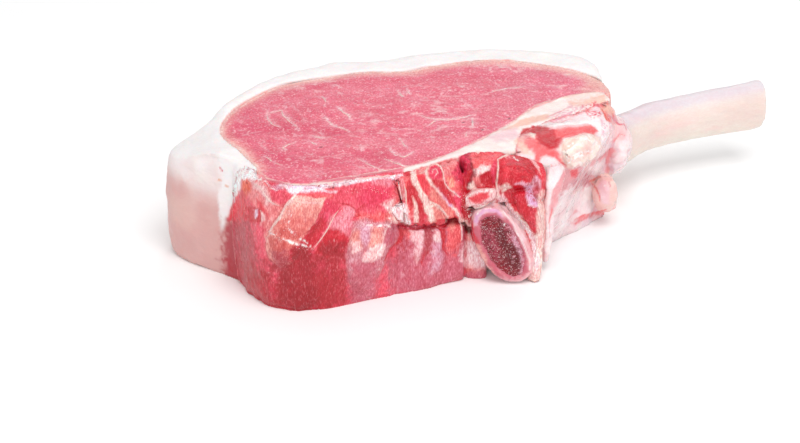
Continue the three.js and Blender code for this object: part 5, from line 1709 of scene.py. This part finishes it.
def grain_tree(material):
    """The tree that spreads grains over a surface."""
    tree, given = new_tree("spread grains", {
        "Grain": "Object", "Spacing": "Float", "Density": "Float", "Smallest": "Float",
        "Largest": "Float", "Seed": "Int"})
    grow = placed(tree, "GeometryNodeInputNamedAttribute", {"Name": "grow"}, data_type="FLOAT")
    points = placed(tree, "GeometryNodeDistributePointsOnFaces", {
        "Mesh": given["Surface"], "Distance Min": given["Spacing"], "Density Max": given["Density"],
        "Density Factor": grow.outputs[0], "Seed": given["Seed"]}, distribute_method="POISSON")
    turn = placed(tree, "FunctionNodeRandomValue",
                  {0: (0, 0, 0), 1: (TILT, TILT, 2 * math.pi), 8: given["Seed"]}, data_type="FLOAT_VECTOR")
    spin = placed(tree, "FunctionNodeEulerToRotation", {0: turn.outputs[0]})
    facing = placed(tree, "FunctionNodeRotateRotation", {
        "Rotation": points.outputs["Rotation"], "Rotate By": spin.outputs[0]}, rotation_space="LOCAL")
    size = placed(tree, "FunctionNodeRandomValue", {
        2: given["Smallest"], 3: given["Largest"], 8: given["Seed"]}, data_type="FLOAT")
    shape = placed(tree, "GeometryNodeObjectInfo", {"Object": given["Grain"]})
    grains = placed(tree, "GeometryNodeInstanceOnPoints", {
        "Points": points.outputs["Points"], "Instance": shape.outputs["Geometry"],
        "Rotation": facing.outputs[0], "Scale": size.outputs[1]})
    return close_tree(tree, grains.outputs[0], material)


print("a grain tilts by up to", round(math.degrees(TILT)), "degrees")


# %% Running a tree
def run_tree(piece, tree, numbers):
    """Runs a tree on a piece with its inputs set, and keeps the result as a plain riding mesh."""
    modifier = piece.modifiers.new(tree.name, "NODES")
    modifier.node_group = tree
    for item in tree.interface.items_tree:
        if item.in_out == "INPUT" and item.name in numbers:
            modifier[item.identifier] = numbers[item.name]
    bake_modifiers(piece)
    mesh = piece.data
    write_points(mesh, kept_in_box(read_rows(mesh.vertices, "co") / MM) * MM)
    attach(piece, "root")
    print(piece.name, len(mesh.polygons), "faces")


def new_grain(ink_name, shape):
    """One grain a metre long, to be scaled down: a flattened ball with its colour painted on."""
    bm = bmesh.new()
    bmesh.ops.create_uvsphere(bm, u_segments=6, v_segments=4, radius=0.5)
    bmesh.ops.scale(bm, vec=shape, verts=bm.verts)
    grain = object_from(bm, ink_name + " grain")
    paint_flat(grain.data, ink_name)
    return grain


def paint_flat(mesh, ink_name):
    """One ink and the same high wetness on every point of a mesh."""
    count = len(mesh.vertices)
    store_paint(mesh, np.tile(ink(ink_name), (count, 1)), np.full(count, GRAIN_WETNESS))


def sprinkle(name, surface, where, ink_name, shape, numbers):
    """Grains on a surface wherever the function where says so, from 0 to 1."""
    mesh = surface.data.copy()
    for old in ("tissue", "wet"):
        mesh.attributes.remove(mesh.attributes[old])
    mesh.materials.clear()
    piece = add_object(name, mesh)
    at = read_rows(mesh.vertices, "co").astype(float) / MM - MARK
    out = read_rows(mesh.vertex_normals, "vector").astype(float)
    grow = mesh.attributes.new("grow", "FLOAT", "POINT")
    grow.data.foreach_set("value", np.clip(where(at, out), 0, 1).astype(np.float32))
    grain = new_grain(ink_name, shape)
    run_tree(piece, GRAINS, dict(numbers, Grain=grain))
    bpy.data.objects.remove(grain)


# %% Grains
def on_eye(at, out):
    """The cut faces of the eye, in drifts that run across it and a little away from the camera."""
    turned = np.stack([at[:, 0] + 0.3 * at[:, 1], (at[:, 1] - 0.3 * at[:, 0]) * 2.2, 0 * at[:, 2]], 1)
    drift = ramp(rough(turned, 9, 501, 2), -0.1, 1.0)
    return ramp(np.abs(out[:, 2]), 0.8, 0.95) * (0.08 + 0.92 * drift)


def on_marrow(at, out):
    """The sawn face of the spine bone."""
    return ramp(-out[:, 1], 0.3, 0.7) * ramp(rough(at, 1.6, 503, 3), -0.2, 0.9)


# where the near wall shines: a name, how many pixels the shine reaches, and its line
SHINING = [
    ("fold", 7, [(270, 232), (287, 240), (300, 245), (312, 249)]),
    ("flap", 8, [(286, 208), (286, 225), (300, 240)]),
    ("veil", 10, [(345, 212), (366, 224), (390, 226)]),
    ("groove", 5, [(463, 190), (465, 210), (471, 222)]),
    ("bright meat", 3, [(345, 192), (372, 190), (396, 196)]),
]


def on_shining_wall(at, out):
    """The near wall where it shines: along the fold, on the veil and in the groove."""
    pixel = seen(at)
    wet = np.zeros(len(at))
    for _, reach, path in SHINING:
        wet = np.maximum(wet, line_mask(path, pixel, reach, 0.2))
    return (wet + 0.004) * ramp(-out[:, 1], 0.1, 0.5)


def on_torn_fat(at, _):
    """The lower border of the shoulder's fat and the ring where the rib bone leaves the meat."""
    pixel = seen(at)
    torn = line_mask([(566, 171), (580, 164), (592, 156), (604, 150)], pixel, 6, 0.2)
    ring = line_mask([(608, 102), (620, 112), (626, 124), (624, 140), (612, 156)], pixel, 5, 0.2)
    return np.maximum(torn, ring * 0.8) * ramp(np.abs(rough(at, 2.0, 507)), 0.1, 0.4)


MOIST = tissue("moisture and soft fat", speckle=0.0, mottle=0.02, grain=0.0, grain_size=0.5, dry=0.3,
               film=1.0, ripple=0.0, glow=0.4, glow_depth=0.4)
GRAINS = grain_tree(MOIST)
sprinkle("fat_flecks", eye, on_eye, "pink haze", (1, 0.45, 0.25),
         {"Spacing": 0.4 * MM, "Density": 1.5e6, "Smallest": 0.2 * MM, "Largest": 0.5 * MM, "Seed": 11})
# pale grains on the sawn core: bone dust, and with their pale ink painted glints of the wet core
sprinkle("marrow_grains", spine_bone, on_marrow, "pale pink", (1, 0.65, 0.5),
         {"Spacing": 0.22 * MM, "Density": 6e6, "Smallest": 0.08 * MM, "Largest": 0.26 * MM, "Seed": 12})
# pale glossy beads where the wall shines: moisture that catches the lamps, with a pale ink that also paints
# the highlight
sprinkle("moisture_beads", near_wall, on_shining_wall, "pale pink", (1, 0.9, 0.5),
         {"Spacing": 0.4 * MM, "Density": 2.2e6, "Smallest": 0.12 * MM, "Largest": 0.3 * MM, "Seed": 13})
sprinkle("fat_shreds", rib_side, on_torn_fat, "wall white", (1, 0.5, 0.15),
         {"Spacing": 0.8 * MM, "Density": 4e5, "Smallest": 0.3 * MM, "Largest": 0.9 * MM, "Seed": 14})

# %% [markdown]
# ## Threads of fat and sinew
#
# Thin white threads stand a little proud of the meat, along the clearest veins of the cut face and along
# the borders of muscles on the near wall. Each follows a line that was named for the paint: the line is
# carried along the line of sight to the piece, and a second tree makes a wandering, tapered thread
# along it.

# %% A tree that makes threads
# a longer step between two points, in millimetres, would bridge a gap in the meat
LONGEST_STEP = 2
# how closely a thread wanders, how many sides it has, and its ends as a share of its middle
WAVES_PER_METRE = 700.0
RING_SIDES = 6
THINNEST = 0.15


def thread_tree(material):
    """The tree that turns lines of points into tapered threads."""
    tree, given = new_tree("threads", {"Step": "Float", "Girth": "Float", "Wander": "Float"})
    curve = placed(tree, "GeometryNodeMeshToCurve", {"Mesh": given["Surface"]})
    even = placed(tree, "GeometryNodeResampleCurve",
                  {"Curve": curve.outputs[0], "Length": given["Step"]}, mode="LENGTH")
    waves = placed(tree, "ShaderNodeTexNoise", {"Scale": WAVES_PER_METRE, "Detail": 2.0})
    centred = placed(tree, "ShaderNodeVectorMath", {0: waves.outputs["Color"], 1: (0.5, 0.5, 0.5)},
                     operation="SUBTRACT")
    offset = placed(tree, "ShaderNodeVectorMath",
                    {0: centred.outputs[0], "Scale": given["Wander"]}, operation="SCALE")
    moved = placed(tree, "GeometryNodeSetPosition",
                   {"Geometry": even.outputs[0], "Offset": offset.outputs[0]})
    share = placed(tree, "GeometryNodeSplineParameter", {})
    turn = placed(tree, "ShaderNodeMath", {0: share.outputs["Factor"], 1: math.pi}, operation="MULTIPLY")
    arch = placed(tree, "ShaderNodeMath", {0: turn.outputs[0]}, operation="SINE")
    taper = placed(tree, "ShaderNodeMath", {0: arch.outputs[0], 1: THINNEST}, operation="MAXIMUM")
    ring = placed(tree, "GeometryNodeCurvePrimitiveCircle",
                  {"Resolution": RING_SIDES, "Radius": given["Girth"]})
    thread = placed(tree, "GeometryNodeCurveToMesh", {
        "Curve": moved.outputs[0], "Profile Curve": ring.outputs[0], "Scale": taper.outputs[0],
        "Fill Caps": True})
    return close_tree(tree, thread.outputs[0], material)


def steps_along(path):
    """The points of a pixel path, and more between them about a pixel apart."""
    path = np.array(path, float)
    steps = []
    for first, second in zip(path[:-1], path[1:]):
        count = max(2, int(np.linalg.norm(second - first)))
        steps += [first + (second - first) * k / count for k in range(count)]
    return steps


def make_threads(name, surface, paths, ink_name, numbers):
    """Threads along pixel paths, where the camera sees them on a surface."""
    tree = search_tree(surface.data)
    start = Vector((EYE_POINT + MARK) * MM)
    points = []
    edges = []
    for path in paths:
        before = None
        for across, down in steps_along(path):
            landed = tree.ray_cast(start, Vector(sight(across, down)).normalized())[0]
            if landed is not None:
                if before is not None and (landed - before).length < LONGEST_STEP * MM:
                    edges.append((len(points) - 1, len(points)))
                points.append(landed)
            before = landed
    mesh = bpy.data.meshes.new(name)
    mesh.from_pydata(points, edges, [])
    paint_flat(mesh, ink_name)
    run_tree(add_object(name, mesh), THREADS, numbers)


print("a thread has", RING_SIDES, "sides")

# %% Threads
THREADS = thread_tree(MOIST)
# veins at least this bright get a thread, and so do these lines of the wall
BRIGHT_VEIN = 0.45
WHITE_THREADS = {
    "flap edge", "white of the seam", "cream tine", "ring", "line by the patch", "line to the seam",
    "strand border", "strand border 2", "white edge of the lobe", "line on the lump", "facet rim",
    "facet top", "white stripe", "white stripe 2", "white stripe 3", "pale line", "corner streak",
}
make_threads("fat_threads", eye, [path for _, _, bright, path in VEINS if bright >= BRIGHT_VEIN],
             "cream", {"Step": 0.5 * MM, "Girth": 0.13 * MM, "Wander": 0.9 * MM})
make_threads("sinew_threads", near_wall,
             [path for name, *_, path in LEFT_LINES + RIGHT_LINES if name in WHITE_THREADS],
             "cream pink", {"Step": 0.5 * MM, "Girth": 0.18 * MM, "Wander": 0.6 * MM})

# %% [markdown]
# ## Last: the size
#
# The dressed pieces are kept inside the imported model's box, and both boxes are printed.

# %% Sizes and finish
bpy.context.view_layer.update()
dressed_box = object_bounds()
sizes = {
    "cad": [list(corner) for corner in cad_box],
    "visual": [list(corner) for corner in dressed_box],
}
for which, (low, high) in sizes.items():
    print(which, [round((b - a) / MM, 2) for a, b in zip(low, high)])
